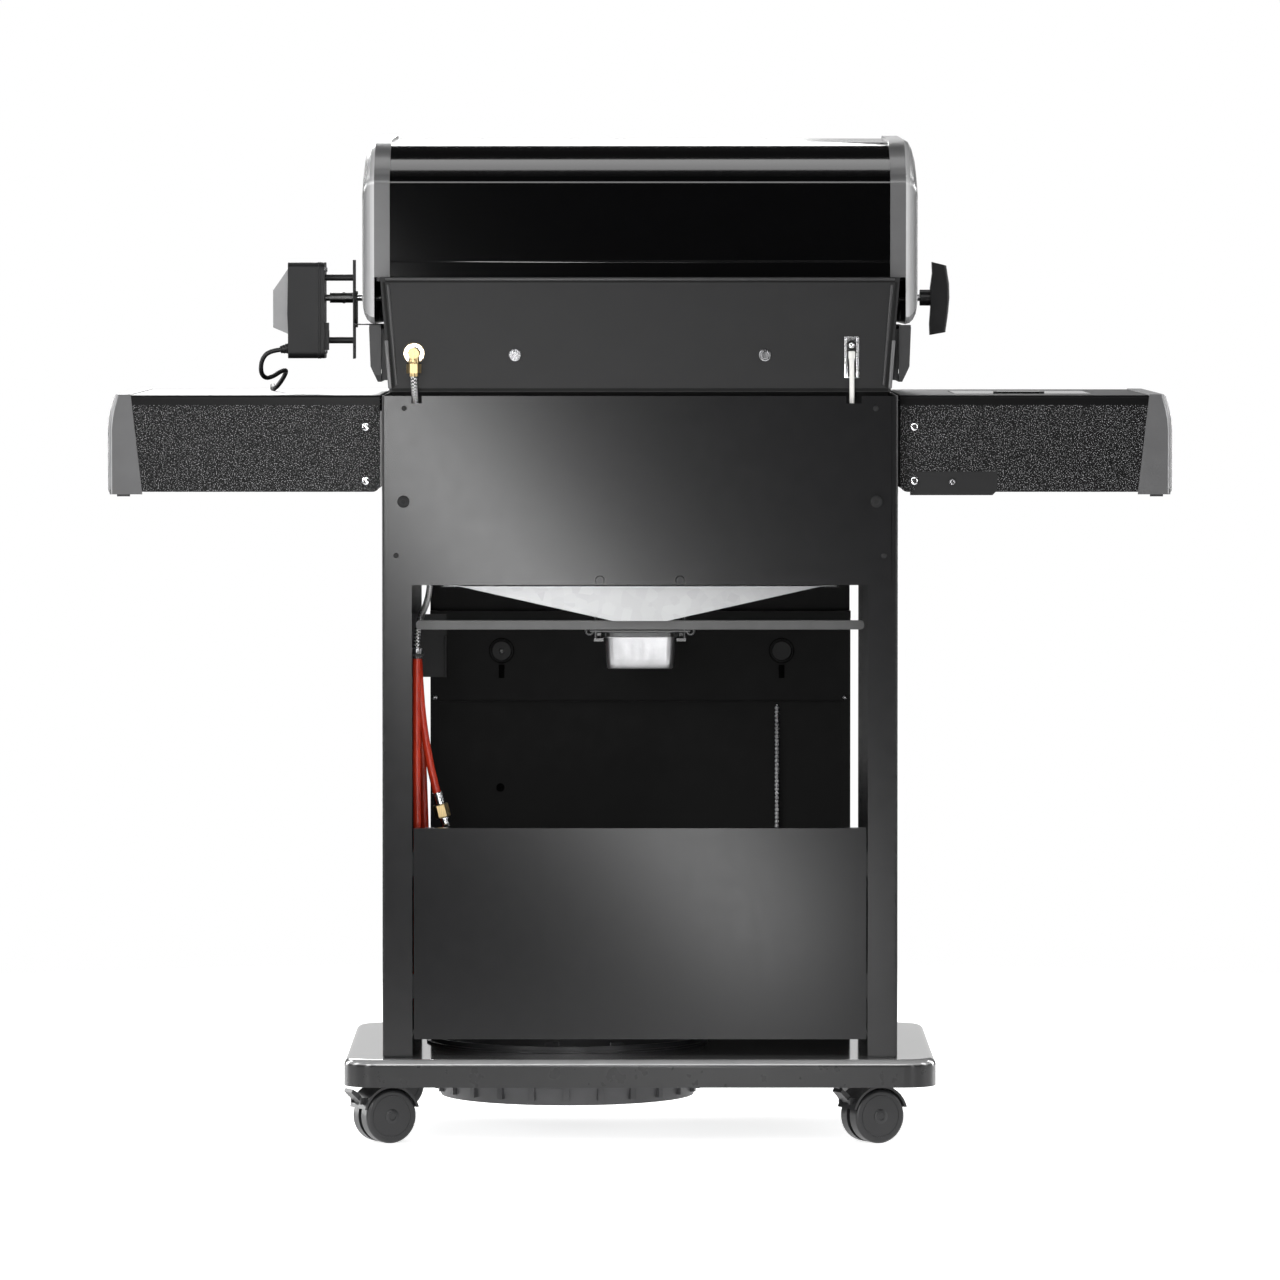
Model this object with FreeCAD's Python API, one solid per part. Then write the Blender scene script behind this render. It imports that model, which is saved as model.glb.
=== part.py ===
"""Gas barbecue grill on a wheeled cabinet, seen from the front with +X to the user's right.

Millimetres, +Z up, the front faces -Y. The origin is on the floor under the middle of the grill.
"""

import FreeCAD
import Part

import math
import os

V = FreeCAD.Vector
SIDES = (("right", 1), ("left", -1))

# --- driving dimensions -------------------------------------------------------------------
OVERALL_HALF = 652.5  # middle to the outer end of a side shelf
BASE = dict(half=363.0, front=-210.0, rear=310.0, bottom=73.0, top=107.0, corner=40.0)
POST_OUT = 315.4  # outer face of a side panel
POST_IN = 279.0  # free edge of its front and rear flanges
POST_FRONT = -185.0
POST_REAR = 283.0
POST_TOP = 918.0
SHEET = 1.4
SHIELD = dict(half=307.0, bottom=687.0, top=918.0, front=283.3, thick=1.2)
LOWER_PANEL = dict(half=277.0, bottom=130.0, top=389.0)
TANK_X, TANK_Y, TANK_R = 91.0, 50.0, 163.5
RIM_Z = 1063.0  # rear rim of the firebox
RIM_HALF = 317.5
PANEL_HALF = 313.7  # the control panel fits between the side panels' webs
HINGE_Y, HINGE_Z, HINGE_R = 235.0, 1108.0, 5.0
SPIT_Y, SPIT_Z, SPIT_R = 50.0, 1037.0, 4.2
SKIN_HALF = 306.0  # visible half width of the lid skin
CAP_FLAT = 325.0  # where the end cap starts to curve away
CAP_OUT = 339.8
SHELF_IN, SHELF_TOP, SHELF_LOW = 318.8, 918.5, 800.0
SHELF_FRONT, SHELF_REAR = -220.0, 250.0
LIP_X, LIP_STEP = 624.0, 0.3  # where the cap's lip starts on the shelf's top, and its set-down
FOLD_X, FOLD_Z, BOLT_R = 336.0, 813.7, 3.0
BURNER_X = -475.0  # middle of the side burner in the left shelf
WHEEL_R, TRAIL, CASTER_TURN = 33.5, 16.0, 27.0
CASTER_X, CASTER_REAR, CASTER_FRONT = 300.0, 240.0, -160.0
BRAKE_REACH, BRAKE_Z = 52.5, 53.5  # pedal pivot, from the caster's stem and from the floor
RUNNING = 0.05  # radial clearance of a shaft in its bore
HOSE_D, LINE_D, MOTOR_CORD_D = 10.0, 7.8, 5.8


# --- small helpers ------------------------------------------------------------------------
def box(x0, x1, y0, y1, z0, z1):
    return Part.makeBox(x1 - x0, y1 - y0, z1 - z0, V(x0, y0, z0))


def rod(axis, radius, a, b, start, end):
    """A cylinder along X, Y or Z. a and b are the other two coordinates, in X, Y, Z order."""
    if axis == "X":
        return Part.makeCylinder(radius, end - start, V(start, a, b), V(1, 0, 0))
    if axis == "Y":
        return Part.makeCylinder(radius, end - start, V(a, start, b), V(0, 1, 0))
    return Part.makeCylinder(radius, end - start, V(a, b, start), V(0, 0, 1))


def prism(plane, points, start, end):
    """A polygon in the XZ or YZ plane, pulled along the third axis from start to end."""
    if plane == "XZ":
        corners = [V(p, start, q) for p, q in points]
        pull = V(0, end - start, 0)
    elif plane == "YZ":
        corners = [V(start, p, q) for p, q in points]
        pull = V(end - start, 0, 0)
    else:
        corners = [V(p, q, start) for p, q in points]
        pull = V(0, 0, end - start)
    return Part.Face(Part.makePolygon(corners + corners[:1])).extrude(pull)


def fuse(shapes):
    first, rest = shapes[0], shapes[1:]
    return first.fuse(rest).removeSplitter() if rest else first


def cut(shape, tools):
    return shape.cut(Part.makeCompound(tools))


def rect_wire(half, y0, y1, z):
    points = [V(-half, y0, z), V(half, y0, z), V(half, y1, z), V(-half, y1, z)]
    return Part.makePolygon(points + points[:1])


def mirror(shape):
    return shape.mirror(V(0, 0, 0), V(1, 0, 0))


def both(shape):
    """A right-hand piece and its mirror image, as a group of two solids."""
    return Part.makeCompound([shape, mirror(shape)])


def hexagon(axis, across, a, b, start, end):
    radius = across / math.sqrt(3)
    ring = [
        (a + radius * math.cos(math.radians(60 * i)), b + radius * math.sin(math.radians(60 * i)))
        for i in range(6)
    ]
    return prism({"X": "YZ", "Y": "XZ", "Z": "XY"}[axis], ring, start, end)


def tube_along(points, diameter, name):
    """A round cord along straight runs joined by tangent arcs, with each bend's radius printed."""
    route = [V(*p) for p in points]
    edges = []
    last = route[0]
    radii = []
    for before, corner, after in zip(route, route[1:], route[2:]):
        back = before - corner
        on = after - corner
        turn = math.pi - back.getAngle(on)
        reach = 0.45 * min(back.Length, on.Length)
        radius = reach / math.tan(turn / 2)
        radii.append(radius)
        back.normalize()
        on.normalize()
        enter = corner + back * reach
        leave = corner + on * reach
        towards = (back + on).normalize()
        centre = corner + towards * (radius / math.cos(turn / 2))
        middle = centre - towards * radius
        edges.append(Part.LineSegment(last, enter).toShape())
        edges.append(Part.Arc(enter, middle, leave).toShape())
        last = leave
    edges.append(Part.LineSegment(last, route[-1]).toShape())
    spine = Part.Wire(edges)
    start = route[1] - route[0]
    section = Part.Wire(Part.makeCircle(diameter / 2, route[0], start))
    tube = spine.makePipeShell([section], True, True)
    ideal = math.pi * diameter**2 / 4 * spine.Length
    print(
        name,
        "length %.0f" % spine.Length,
        "tightest bend %.1f" % min(radii),
        "volume over ideal %.3f" % (tube.Volume / ideal),
    )
    return tube


# --- base, wheels and cabinet ---------------------------------------------------------------
def rounded_block(half, front, rear, bottom, top, corner, top_round):
    block = box(-half, half, front, rear, bottom, top)
    uprights = [e for e in block.Edges if abs(e.tangentAt(e.FirstParameter).z) > 0.9]
    block = block.makeFillet(corner, uprights)
    crown = [e for e in block.Edges if e.BoundBox.ZMin > top - 0.01]
    return block.makeFillet(top_round, crown)


def base_shelf():
    b = BASE
    shell = rounded_block(b["half"], b["front"], b["rear"], b["bottom"], b["top"], b["corner"], 9.0)
    inside = rounded_block(
        b["half"] - 2, b["front"] + 2, b["rear"] - 2, b["bottom"] - 5, b["top"] - 2, 38.0, 7.0
    )
    shell = shell.cut(inside)
    shell = shell.cut(rod("Z", TANK_R + 2.5, TANK_X, TANK_Y, 90, 120))
    sockets = []
    bores = []
    for x, y in caster_places():
        sockets.append(rod("Z", 12, x, y, 78, 106))
        bores.append(rod("Z", 5.5 + RUNNING, x, y, 70, 103))
    return cut(fuse([shell] + sockets), bores)


def tank_well():
    """The ribbed round pan that the gas bottle's foot stands in, hung in the base's hole."""
    outline = [
        (70, 41), (158, 41), (163.5, 62), (163.5, 107.3), (176, 107.3), (176, 109.5),
        (171, 109.5), (171, 115), (166, 115), (161, 108), (161, 63), (156, 44), (70, 44),
    ]
    face = Part.Face(Part.makePolygon([V(r, 0, z) for r, z in outline + outline[:1]]))
    pan = face.revolve(V(0, 0, 0), V(0, 0, 1), 360)
    ribs = []
    for i in range(24):
        rib = box(156.5, 165.5, -3.5, 3.5, 47, 72)
        ribs.append(rib.rotate(V(0, 0, 0), V(0, 0, 1), 15.0 * i))
    slots = []
    for i in range(12):
        slot = box(155, 170, -9, 9, 84, 90)
        slot.rotate(V(0, 0, 0), V(0, 0, 1), 30.0 * i + 7.5)
        slots.append(slot)
    pan = cut(fuse([pan] + ribs), slots)
    inner = Part.makeCone(155.8, 160.8, 24.0, V(0, 0, 45), V(0, 0, 1))
    pan = pan.cut(inner)
    pan.translate(V(TANK_X, TANK_Y, 0))
    return pan


def side_panels():
    """Folded sheet sides. Each carries two bracket plates that its side shelf folds about."""
    z0, z1 = BASE["top"], POST_TOP
    outer = box(POST_IN, POST_OUT, POST_FRONT, POST_REAR, z0, z1)
    corners = [
        e for e in outer.Edges
        if abs(e.tangentAt(e.FirstParameter).z) > 0.9 and e.BoundBox.XMin > POST_OUT - 1
    ]
    outer = outer.makeFillet(3.0, corners)
    inner = box(POST_IN - 5, POST_OUT - SHEET, POST_FRONT + SHEET, POST_REAR - SHEET, z0 - 5, z1 + 5)
    panel = outer.cut(inner)
    # The front flange is narrower where the firebox comes down between the posts.
    panel = panel.cut(box(POST_IN - 5, 306.8, POST_FRONT - 1, POST_FRONT + 3, 739, z1 + 1))
    foot = box(POST_IN + 8, POST_OUT - SHEET, POST_FRONT + SHEET, POST_REAR - SHEET, z0, z0 + 1.5)
    plates = []
    for y0 in (SHELF_REAR - 6.0, SHELF_FRONT + 3.0):
        outline = [
            (POST_OUT - 1, 808), (321, 803.6), (328, 801.5), (341, 801.5), (346, 806.5), (346, 893),
            (340, 899), (POST_OUT - 1, 899),
        ]
        plate = prism("XZ", outline, y0, y0 + 3)
        hole = rod("Y", BOLT_R + RUNNING, FOLD_X, FOLD_Z, y0 - 1, y0 + 4)
        notch = box(FOLD_X - 3.4, 350, y0 - 1, y0 + 4, 880 - 5, 880 + 3.4)
        plates.append(plate.cut(hole).cut(notch))
    # The front plate stands ahead of the post, so a folded web ties it back to the side.
    web = box(POST_OUT - SHEET, POST_OUT, SHELF_FRONT + 3, POST_FRONT + 5, 808, 899)
    return both(fuse([panel, foot, web] + plates))


def rear_heat_shield():
    s = SHIELD
    y0, y1 = s["front"], s["front"] + s["thick"]
    plate = box(-s["half"], s["half"], y0, y1, s["bottom"], s["top"])
    low = [
        e for e in plate.Edges
        if abs(e.tangentAt(e.FirstParameter).y) > 0.9 and e.BoundBox.ZMax < s["bottom"] + 1
    ]
    plate = plate.makeFillet(5.0, low)
    hose_notch = box(266.5, 280.5, y0 - 1, y1 + 1, s["top"] - 9, s["top"] + 1)
    wire_notch = box(-270.5, -252, y0 - 1, y1 + 1, s["top"] - 9, s["top"] + 1)
    tabs = []
    for x in (49, -49):
        ring = rod("Y", 5.6, x, 693, y0 - 1, y1 + 1).cut(rod("Y", 4.8, x, 693, y0 - 2, y1 + 2))
        tabs.append(ring.cut(box(x - 8, x + 8, y0 - 2, y1 + 2, 680, 690)))
    return cut(plate, [hose_notch, wire_notch] + tabs)


def rear_lower_panel():
    p = LOWER_PANEL
    y1 = POST_REAR - 0.2
    face = box(-p["half"], p["half"], y1 - 1.2, y1, p["bottom"], p["top"])
    top = box(-p["half"], p["half"], y1 - 16, y1 - 1.0, p["top"] - 1.2, p["top"])
    bottom = box(-p["half"], p["half"], y1 - 16, y1 - 1.0, p["bottom"], p["bottom"] + 1.2)
    ears = []
    for x0, x1 in ((272, 300), (-300, -272)):
        ears.append(box(x0, x1, y1 - 2.6, y1 - 1.2, 180, 210))
        ears.append(box(x0, x1, y1 - 2.6, y1 - 1.2, 330, 360))
    return fuse([face, top, bottom] + ears)


def front_frame():
    """The fixed frame round the door, with the cross panel behind the door's upper half."""
    y0 = POST_FRONT
    panel = box(-269, 268, y0, y0 + 1.4, 112, 636)
    window = box(-258, 256, y0 - 1, y0 + 3, 126, 519)
    slots = []
    discs = []
    for x in (177, -181):
        slots.append(box(x - 2.5, x + 2.5, y0 - 1, y0 + 3, 549, 563))
        slots.append(rod("Y", 4.5, x, 563, y0 - 1, y0 + 3))
        discs.append(rod("Y", 15, x, 585, y0 + 1.4, y0 + 5))
    panel = cut(panel, [window] + slots)
    rail = box(-269, 268, y0, y0 + 14, 627, 636.5)
    lip = box(-258, 256, y0 + 1.4, y0 + 10, 519, 520.5)
    head = box(-POST_IN, POST_IN, y0, y0 + 2, 690, 738)
    hanger = [box(x - 8, x + 8, y0, y0 + 1.4, 630, 700) for x in (-150, 150)]
    feet = box(-258, 256, y0, y0 + 12, 110.5, 112.5)
    ears = []
    for z0 in (107.0, 672):
        ears.append(box(-276, -252, -209, y0 + 1, z0, z0 + 3))
        ears.append(box(-262, -252, y0, y0 + 1.4, z0, 700 if z0 > 600 else 115))
    holes = [rod("Z", 3 + RUNNING, -262, -197, z0 - 1, z0 + 4) for z0 in (107.0, 672)]
    whole = fuse([panel, rail, lip, head, feet] + discs + hanger + ears)
    return cut(whole, holes)


def door():
    """A shallow folded pan with an inner liner. It turns on two pins beside its left edge."""
    x0, x1, z0, z1 = -268, 268, 112.5, 669
    front, back = -209, -187.5
    shell = box(x0, x1, front, back, z0, z1)
    edges = [
        e for e in shell.Edges
        if e.BoundBox.YMax < front + 1 and abs(e.tangentAt(e.FirstParameter).y) < 0.1
    ]
    shell = shell.makeFillet(4.0, edges)
    hollow = box(x0 + 1.5, x1 - 1.5, front + 1.5, back + 1, z0 + 1.5, z1 - 1.5)
    liner = box(x0 + 1.5, x1 - 1.5, back - 1.2, back, z0 + 1.5, z1 - 1.5)
    ribs = box(x0 + 1.5, x1 - 1.5, front + 1.5, back - 1.2, 380, 383)
    pins = [rod("Z", 3, -262, -197, 107.5, 114), rod("Z", 3, -262, -197, 667, 674.5)]
    return fuse([shell.cut(hollow), liner, ribs] + pins)


def bar_handle(x, y, z0, z1, face):
    """An upright round bar on two posts. face is the Y of the surface that it is screwed to."""
    bar = rod("Z", 8, x, y, z0, z1)
    posts = [rod("Y", 6, x, z, y, face) for z in (z0 + 25, z1 - 25)]
    return fuse([bar] + posts)


# --- casters --------------------------------------------------------------------------------
def caster_places():
    return [(s * CASTER_X, y) for y in (CASTER_REAR, CASTER_FRONT) for s in (1, -1)]


def at_caster(shape, x, y):
    """Puts a caster made with its stem at the origin and its axle along Y in its place."""
    shape.rotate(V(0, 0, 0), V(0, 0, 1), CASTER_TURN)
    shape.translate(V(x, y, 0))
    return shape


def caster_housing(x, y, braked):
    stem = rod("Z", 5.5, 0, 0, 60, 100)
    collar = rod("Z", 10, 0, 0, 62, 72.5)
    web = rod("Y", 30, TRAIL, WHEEL_R, -3.6, 3.6).cut(box(-60, 80, -10, 10, -10, 20))
    neck = box(-9, 14, -3.6, 3.6, 40, 70)
    hood = rod("Y", WHEEL_R + 4.5, TRAIL, WHEEL_R, -22, 22)
    hood = hood.cut(rod("Y", WHEEL_R + 1.5, TRAIL, WHEEL_R, -30, 30))
    hood = hood.cut(box(-60, 100, -30, 30, -10, WHEEL_R + 10))
    bridge = box(-9, 9, -9, 9, WHEEL_R + 31, 66)
    body = fuse([stem, collar, web, neck, hood, bridge])
    body = body.cut(rod("Y", 4 + RUNNING, TRAIL, WHEEL_R, -30, 30))
    room = rod("Y", WHEEL_R + 1.2, TRAIL, WHEEL_R, 3.6, 30)
    room = room.fuse(rod("Y", WHEEL_R + 1.2, TRAIL, WHEEL_R, -30, -3.6))
    body = body.cut(room)
    if braked:
        ears = [box(45, 55.5, y0, y0 + 3, 49, 57) for y0 in (-14.4, 11.4)]
        ears = [ear.cut(rod("Y", WHEEL_R + 1.5, TRAIL, WHEEL_R, -30, 30)) for ear in ears]
        body = fuse([body] + ears).cut(rod("Y", 1.8 + RUNNING, BRAKE_REACH, BRAKE_Z, -20, 20))
    return at_caster(body, x, y)


def caster_wheels(x, y):
    """Two discs on one axle, one each side of the housing's web."""
    discs = []
    for s in (1, -1):
        disc = rod("Y", WHEEL_R, TRAIL, WHEEL_R, min(4.1 * s, 22 * s), max(4.1 * s, 22 * s))
        rim = [e for e in disc.Edges if abs(e.BoundBox.YMax - 22 * s) < 0.1 and e.Length > 100]
        discs.append(disc.makeFillet(4.0, rim))
    axle = rod("Y", 4, TRAIL, WHEEL_R, -21, 21)
    return at_caster(fuse(discs + [axle]), x, y)


def caster_brake(x, y):
    """The brake pedal at the trailing end of a rear caster, on its own cross pin."""
    outline = [(51.5, 50), (60, 58), (66, 64), (64, 68), (56, 63), (50.5, 56)]
    pedal = prism("XZ", outline, -11, 11)
    pin = rod("Y", 1.8, BRAKE_REACH, BRAKE_Z, -14.2, 14.2)
    return at_caster(pedal.fuse(pin), x, y)


# --- firebox and burners ----------------------------------------------------------------------
def firebox():
    """A folded steel tub, open at the top, that narrows to a slot over the drip pan."""
    levels = ((923, 306.0, -208.0, 279.0), (RIM_Z, RIM_HALF, -208.0, 279.0))
    lower = ((694, 229.0, -150.0, 262.0), (760, 302.0, -196.0, 262.0), (926, 304.0, -196.0, 262.0))

    def loft(rows, skin, stretch):
        wires = []
        for i, (z, half, y0, y1) in enumerate(rows):
            if i == 0:
                z = z - stretch
            if i == len(rows) - 1:
                z = z + stretch
            wires.append(rect_wire(half - skin, y0 + skin, y1 - skin, z))
        return [Part.makeLoft(list(pair), True, True) for pair in zip(wires, wires[1:])]

    outer = fuse(loft(levels, 0, 0) + loft(lower, 0, 0))
    upper_room = loft(((925.2, 306.2, -208.0, 279.0), (RIM_Z, RIM_HALF, -208.0, 279.0)), 2.2, 0.2)
    inner = upper_room + loft(lower, 2.0, 1.0)
    tub = cut(outer, inner)
    # The side and front walls are lower than the rear wall and slope down to the front.
    slope = [(276.7, 1046), (276.7, 1100), (-230, 1100), (-230, 999.5), (-205, 999.5)]
    tub = tub.cut(prism("YZ", slope, -330, 330))
    rim = box(-RIM_HALF, RIM_HALF, 274.5, 279, RIM_Z - 2.2, RIM_Z)
    details = [rim]
    for s in (1, -1):
        x0, x1 = sorted((s * 312.6, s * 315.6))
        arm = [(146, 1030), (168, 1030), (168, 1097), (238, 1097), (246, 1108), (238, 1119), (146, 1119)]
        details.append(prism("YZ", arm, x0, x1))
        x0, x1 = sorted((s * 309.0, s * 314.5))
        details.append(box(x0, x1, 34, 66, 1012, SPIT_Z))
        # Runners under the floor slot carry the drip pan's edges.
        x0, x1 = sorted((s * 243.5, s * 245.0))
        details.append(box(x0, x1, -150, 262, 682.5, 716))
        x0, x1 = sorted((s * 227.5, s * 245.0))
        details.append(box(x0, x1, -150, 262, 682.5, 684.0))
        # Ledges for the cooking grids.
        x0, x1 = sorted((s * 296.0, s * 310.0))
        details.append(box(x0, x1, -200, 228, 975, 978))
        x0, x1 = sorted((s * 240.0, s * 302.0))
        details.append(box(x0, x1, -190, -186, 905, 925))
        details.append(box(x0, x1, 250, 254, 905, 925))
    holes = []
    for s in (1, -1):
        x0, x1 = sorted((s * 300.0, s * 330.0))
        holes.append(rod("X", HINGE_R + RUNNING, HINGE_Y, HINGE_Z, x0, x1))
        holes.append(rod("X", SPIT_R + 0.4, SPIT_Y, SPIT_Z, x0, x1))
    holes.append(box(-245, 245, 226, 300, 676, 682.4))
    for x in (-180, 0, 180):
        holes.append(rod("Y", 9, x, 880, -215, -180))
    return cut(fuse([tub] + details), holes)


def firebox_cheeks():
    """Cast side pieces that carry the firebox's sides out to the width of the lid's end caps."""
    outline = [(-205, 935), (262, 935), (270, 943), (270, 1002), (-205, 1002)]
    block = prism("YZ", outline, 316.5, 331.5)
    chamfer = prism("XZ", [(318.5, 930), (335, 930), (335, 954), (329.5, 954)], -300, 300)
    draft = prism("XZ", [(329.5, 954), (335, 954), (335, 1010), (331.6, 1010)], -300, 300)
    hollow = box(316, 326, -199, 264, 942, 996)
    return both(cut(block, [chamfer, draft, hollow]))


def control_panel():
    y0, y1 = -266, -208.5
    shell = box(-PANEL_HALF, PANEL_HALF, y0, y1, 775, 925)
    front = [
        e for e in shell.Edges
        if e.BoundBox.YMax < y0 + 1 and abs(e.tangentAt(e.FirstParameter).x) > 0.9
    ]
    shell = shell.makeFillet(8.0, front)
    room = PANEL_HALF - 2
    shell = shell.cut(box(-room, room, y0 + 2, y1 + 1, 770, 923))
    flange = box(305, PANEL_HALF, -209.5, -185.3, 780, 905)
    flanges = [flange, mirror(flange)]
    holes = [rod("Y", 7, x, 850, y0 - 1, y0 + 3) for x in KNOB_X]
    return cut(fuse([shell] + flanges), holes)


KNOB_X = (-210.0, -70.0, 70.0, 210.0)


def gas_manifold():
    """The supply pipe under the control panel, with one valve for each knob."""
    pipe = rod("X", 8, -228, 870, -290, 290)
    valves = []
    bores = []
    for x in KNOB_X:
        valves.append(rod("Y", 11, x, 850, -252, -222))
        valves.append(box(x - 9, x + 9, -240, -218, 850, 872))
        bores.append(rod("Y", 4 + RUNNING, x, 850, -260, -232))
    jets = [rod("Y", 5, x, 880, -232, -198) for x in (-180, 0, 180)]
    clamps = [box(x - 10, x + 10, -234, -208.2, 866, 869) for x in (-285, 285)]
    return cut(fuse([pipe] + valves + jets + clamps), bores)


def main_burners():
    burners = []
    for x in (-180, 0, 180):
        tube = rod("Y", 12.5, x, 880, -190, 236)
        throat = rod("Y", 8, x, 880, -203, -188)
        bore = rod("Y", 6, x, 880, -204, 226)
        ports = [box(x - 14, x + 14, y, y + 3, 879, 881) for y in range(-150, 230, 24)]
        burners.append(cut(fuse([tube, throat]), [bore] + ports))
    rest = box(-300, 300, 240, 249.5, 868, 871)
    legs = [box(x - 6, x + 6, 230, 245, 866.5, 871) for x in (-180, 0, 180)]
    return Part.makeCompound(burners + [fuse([rest] + legs)])


def sear_plates():
    plates = []
    for x in (-180, 0, 180):
        roof = [(x - 62, 905), (x, 948), (x + 62, 905), (x + 60, 903.6), (x, 945.6), (x - 60, 903.6)]
        plates.append(prism("XZ", roof, -184, 248))
    side_rest = [box(-290, 290, y, y + 2.5, 901, 903.4) for y in (-180, 240)]
    return Part.makeCompound(plates + side_rest)


def cooking_grids():
    """Two cast grids, each with bars from front to rear."""
    grids = []
    for x0, x1 in ((-307, -1), (1, 307)):
        bars = [box(x0, x1, y, y + 7, 979, 988) for y in (-198, 12, 217)]
        count = 17
        for i in range(count):
            x = x0 + 4 + (x1 - x0 - 8) * i / (count - 1)
            bars.append(box(x - 3.5, x + 3.5, -198, 224, 982, 992))
        grids.append(fuse(bars))
    return Part.makeCompound(grids)


def rear_burner():
    """The infrared burner inside the rear wall, and the brass inlet elbow outside it."""
    frame = box(-205, 205, 243, 276.6, 952, 1042).cut(box(-193, 193, 240, 262, 962, 1032))
    mesh = [box(-194, 194, 247, 249, z, z + 2.5) for z in range(968, 1030, 12)]
    return Part.makeCompound([fuse([frame] + mesh), gas_elbow()])


# --- rear gas line, igniter lead and hose --------------------------------------------------------
ELBOW = (276.0, 288.5, 970.0)
LINE_ROUTE = [
    (276.0, 288.5, 942.0), (275.6, 288.3, 926.0), (273.5, 275.5, 905.0), (273.0, 273.5, 878.0),
    (272.0, 272.8, 826.0), (269.0, 273.0, 774.0), (262.0, 271.0, 728.0), (256.0, 259.0, 690.0),
    (262.0, 240.0, 661.0), (274.2, 219.6, 637.5), (274.7, 219.0, 606.5),
]


def rear_gas_line():
    return tube_along(LINE_ROUTE, LINE_D, "rear gas line")


def gas_elbow():
    """Washer, elbow and nut where the line enters the rear burner through the firebox wall."""
    x, y, z = ELBOW
    washer = rod("Y", 12.8, x, z, 279.0, 280.8)
    body = rod("Y", 6.5, x, z, 280.8, 297)
    drop = rod("Z", 6, x, y, 957, z)
    nut = hexagon("Z", 15.5, x, y, 946, 957)
    ferrule = rod("Z", 5.4, x, y, 942, 946)
    return fuse([washer, body, drop, nut, ferrule])


LEAD_ROUTE = [
    (-258.5, 284.5, 960.0), (-258.6, 284.8, 943.0), (-258.7, 284.6, 925.5), (-259.0, 274.5, 903.0),
    (-259.7, 272.6, 872.0), (-260.0, 272.0, 842.0),
]


def rear_electrode():
    """Cover plate, screw and insulated lead of the rear burner's igniter."""
    plate = box(-267.5, -249.5, 279.0, 280.2, 940, 990.6)
    screw = rod("Y", 4.7, -258.5, 980, 280.2, 282.8)
    sleeve = box(-263, -254, 280.2, 288.5, 960, 972)
    lead = tube_along(LEAD_ROUTE, 6.4, "igniter lead")
    clip = box(-266, -254, 268, 276, 838, 841.8)
    stay = box(-266, -254, 262.0, 268.5, 838, 841.8)
    return Part.makeCompound([fuse([plate, screw, sleeve]), lead, fuse([clip, stay])])


UNION = (274.7, 219.0)


def hose_bracket():
    """A cover plate on the right side panel, and the tab that holds the supply line's union."""
    inside = POST_OUT - SHEET
    plate = box(243, inside, 10, 11.5, 561, 640)
    edge = box(243, 244.3, 10, 24, 561, 612)
    foot = box(inside - 1.5, inside, 11.5, 30, 561, 640)
    tab = box(266, inside, 206, 232, 598, 600)
    union = rod("Z", 7.5, UNION[0], UNION[1], 594, 606.5)
    return Part.makeCompound([fuse([plate, edge, foot]), tab.cut(union), union])


HOSE_ROUTE = [
    (274.7, 219.0, 594.0), (275.4, 217.5, 482.0), (274.0, 219.5, 368.0), (275.0, 217.0, 252.0),
    (275.0, 219.0, 134.0), (268.0, 90.0, 132.0), (265.4, 89.0, 248.0), (267.5, 91.0, 364.0),
    (272.0, 89.0, 481.0), (276.5, 90.0, 599.0), (274.5, 202.0, 602.0), (266.5, 203.0, 489.0),
    (250.5, 203.0, 428.0),
]


def gas_hose():
    return tube_along(HOSE_ROUTE, HOSE_D, "gas hose")


def gas_hose_fitting():
    """Crimped ferrule, hexagon and nose on the hose's free end, in line with its last run."""
    end = V(*HOSE_ROUTE[-1])
    heading = (end - V(*HOSE_ROUTE[-2])).normalize()
    ferrule = Part.makeCylinder(7.2, 15, end, heading)
    hex_part = hexagon("Z", 17, 0, 0, 15, 32)
    nose = Part.makeCylinder(6.0, 12, V(0, 0, 32), V(0, 0, 1))
    tip = fuse([hex_part, nose])
    tip.Placement = FreeCAD.Placement(end, FreeCAD.Rotation(V(0, 0, 1), heading))
    return fuse([ferrule, tip])


def match_chain():
    """Ball chain that hangs from the cross panel and holds a match."""
    x, y = -175.0, POST_FRONT + 7.5
    balls = []
    z = 512.0
    while z > 375.0:
        balls.append(Part.makeSphere(2.7, V(x, y, z)))
        z = z - 5.2
    wire = rod("Z", 0.9, x, y, 374, 516.5)
    return fuse([wire] + balls)


# --- lid -----------------------------------------------------------------------------------------
def lid_outline(out, low, squeeze=(0.0, 0.0, 0.0)):
    """The lid's side profile, from its rear lower edge over the top to its front lower edge.

    out moves it outwards. squeeze pulls it in towards its middle by parts of its size: along Y,
    above the middle and below it.
    """
    rows = [
        (262, low, 1, 0), (262, 1176, 1, 0), (260.97, 1181.4, 0.928, 0.371), (258, 1186, 0.719, 0.695),
        (210, 1217.4, 0.407, 0.914), (160, 1229, 0.035, 0.999), (-100, 1237.5, 0.035, 0.999),
        (-163.9, 1215.6, -0.651, 0.759), (-196, 1156, -0.994, 0.106), (-212, 1005, -0.994, 0.106),
    ]
    mid_y, mid_z = 25.0, 1120.0
    points = []
    for y, z, ny, nz in rows:
        y, z = y + out * ny, z + out * nz
        y = mid_y + (y - mid_y) * (1 - squeeze[0])
        z = mid_z + (z - mid_z) * (1 - (squeeze[1] if z > mid_z else squeeze[2]))
        points.append((y, z))
    return points


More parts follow.
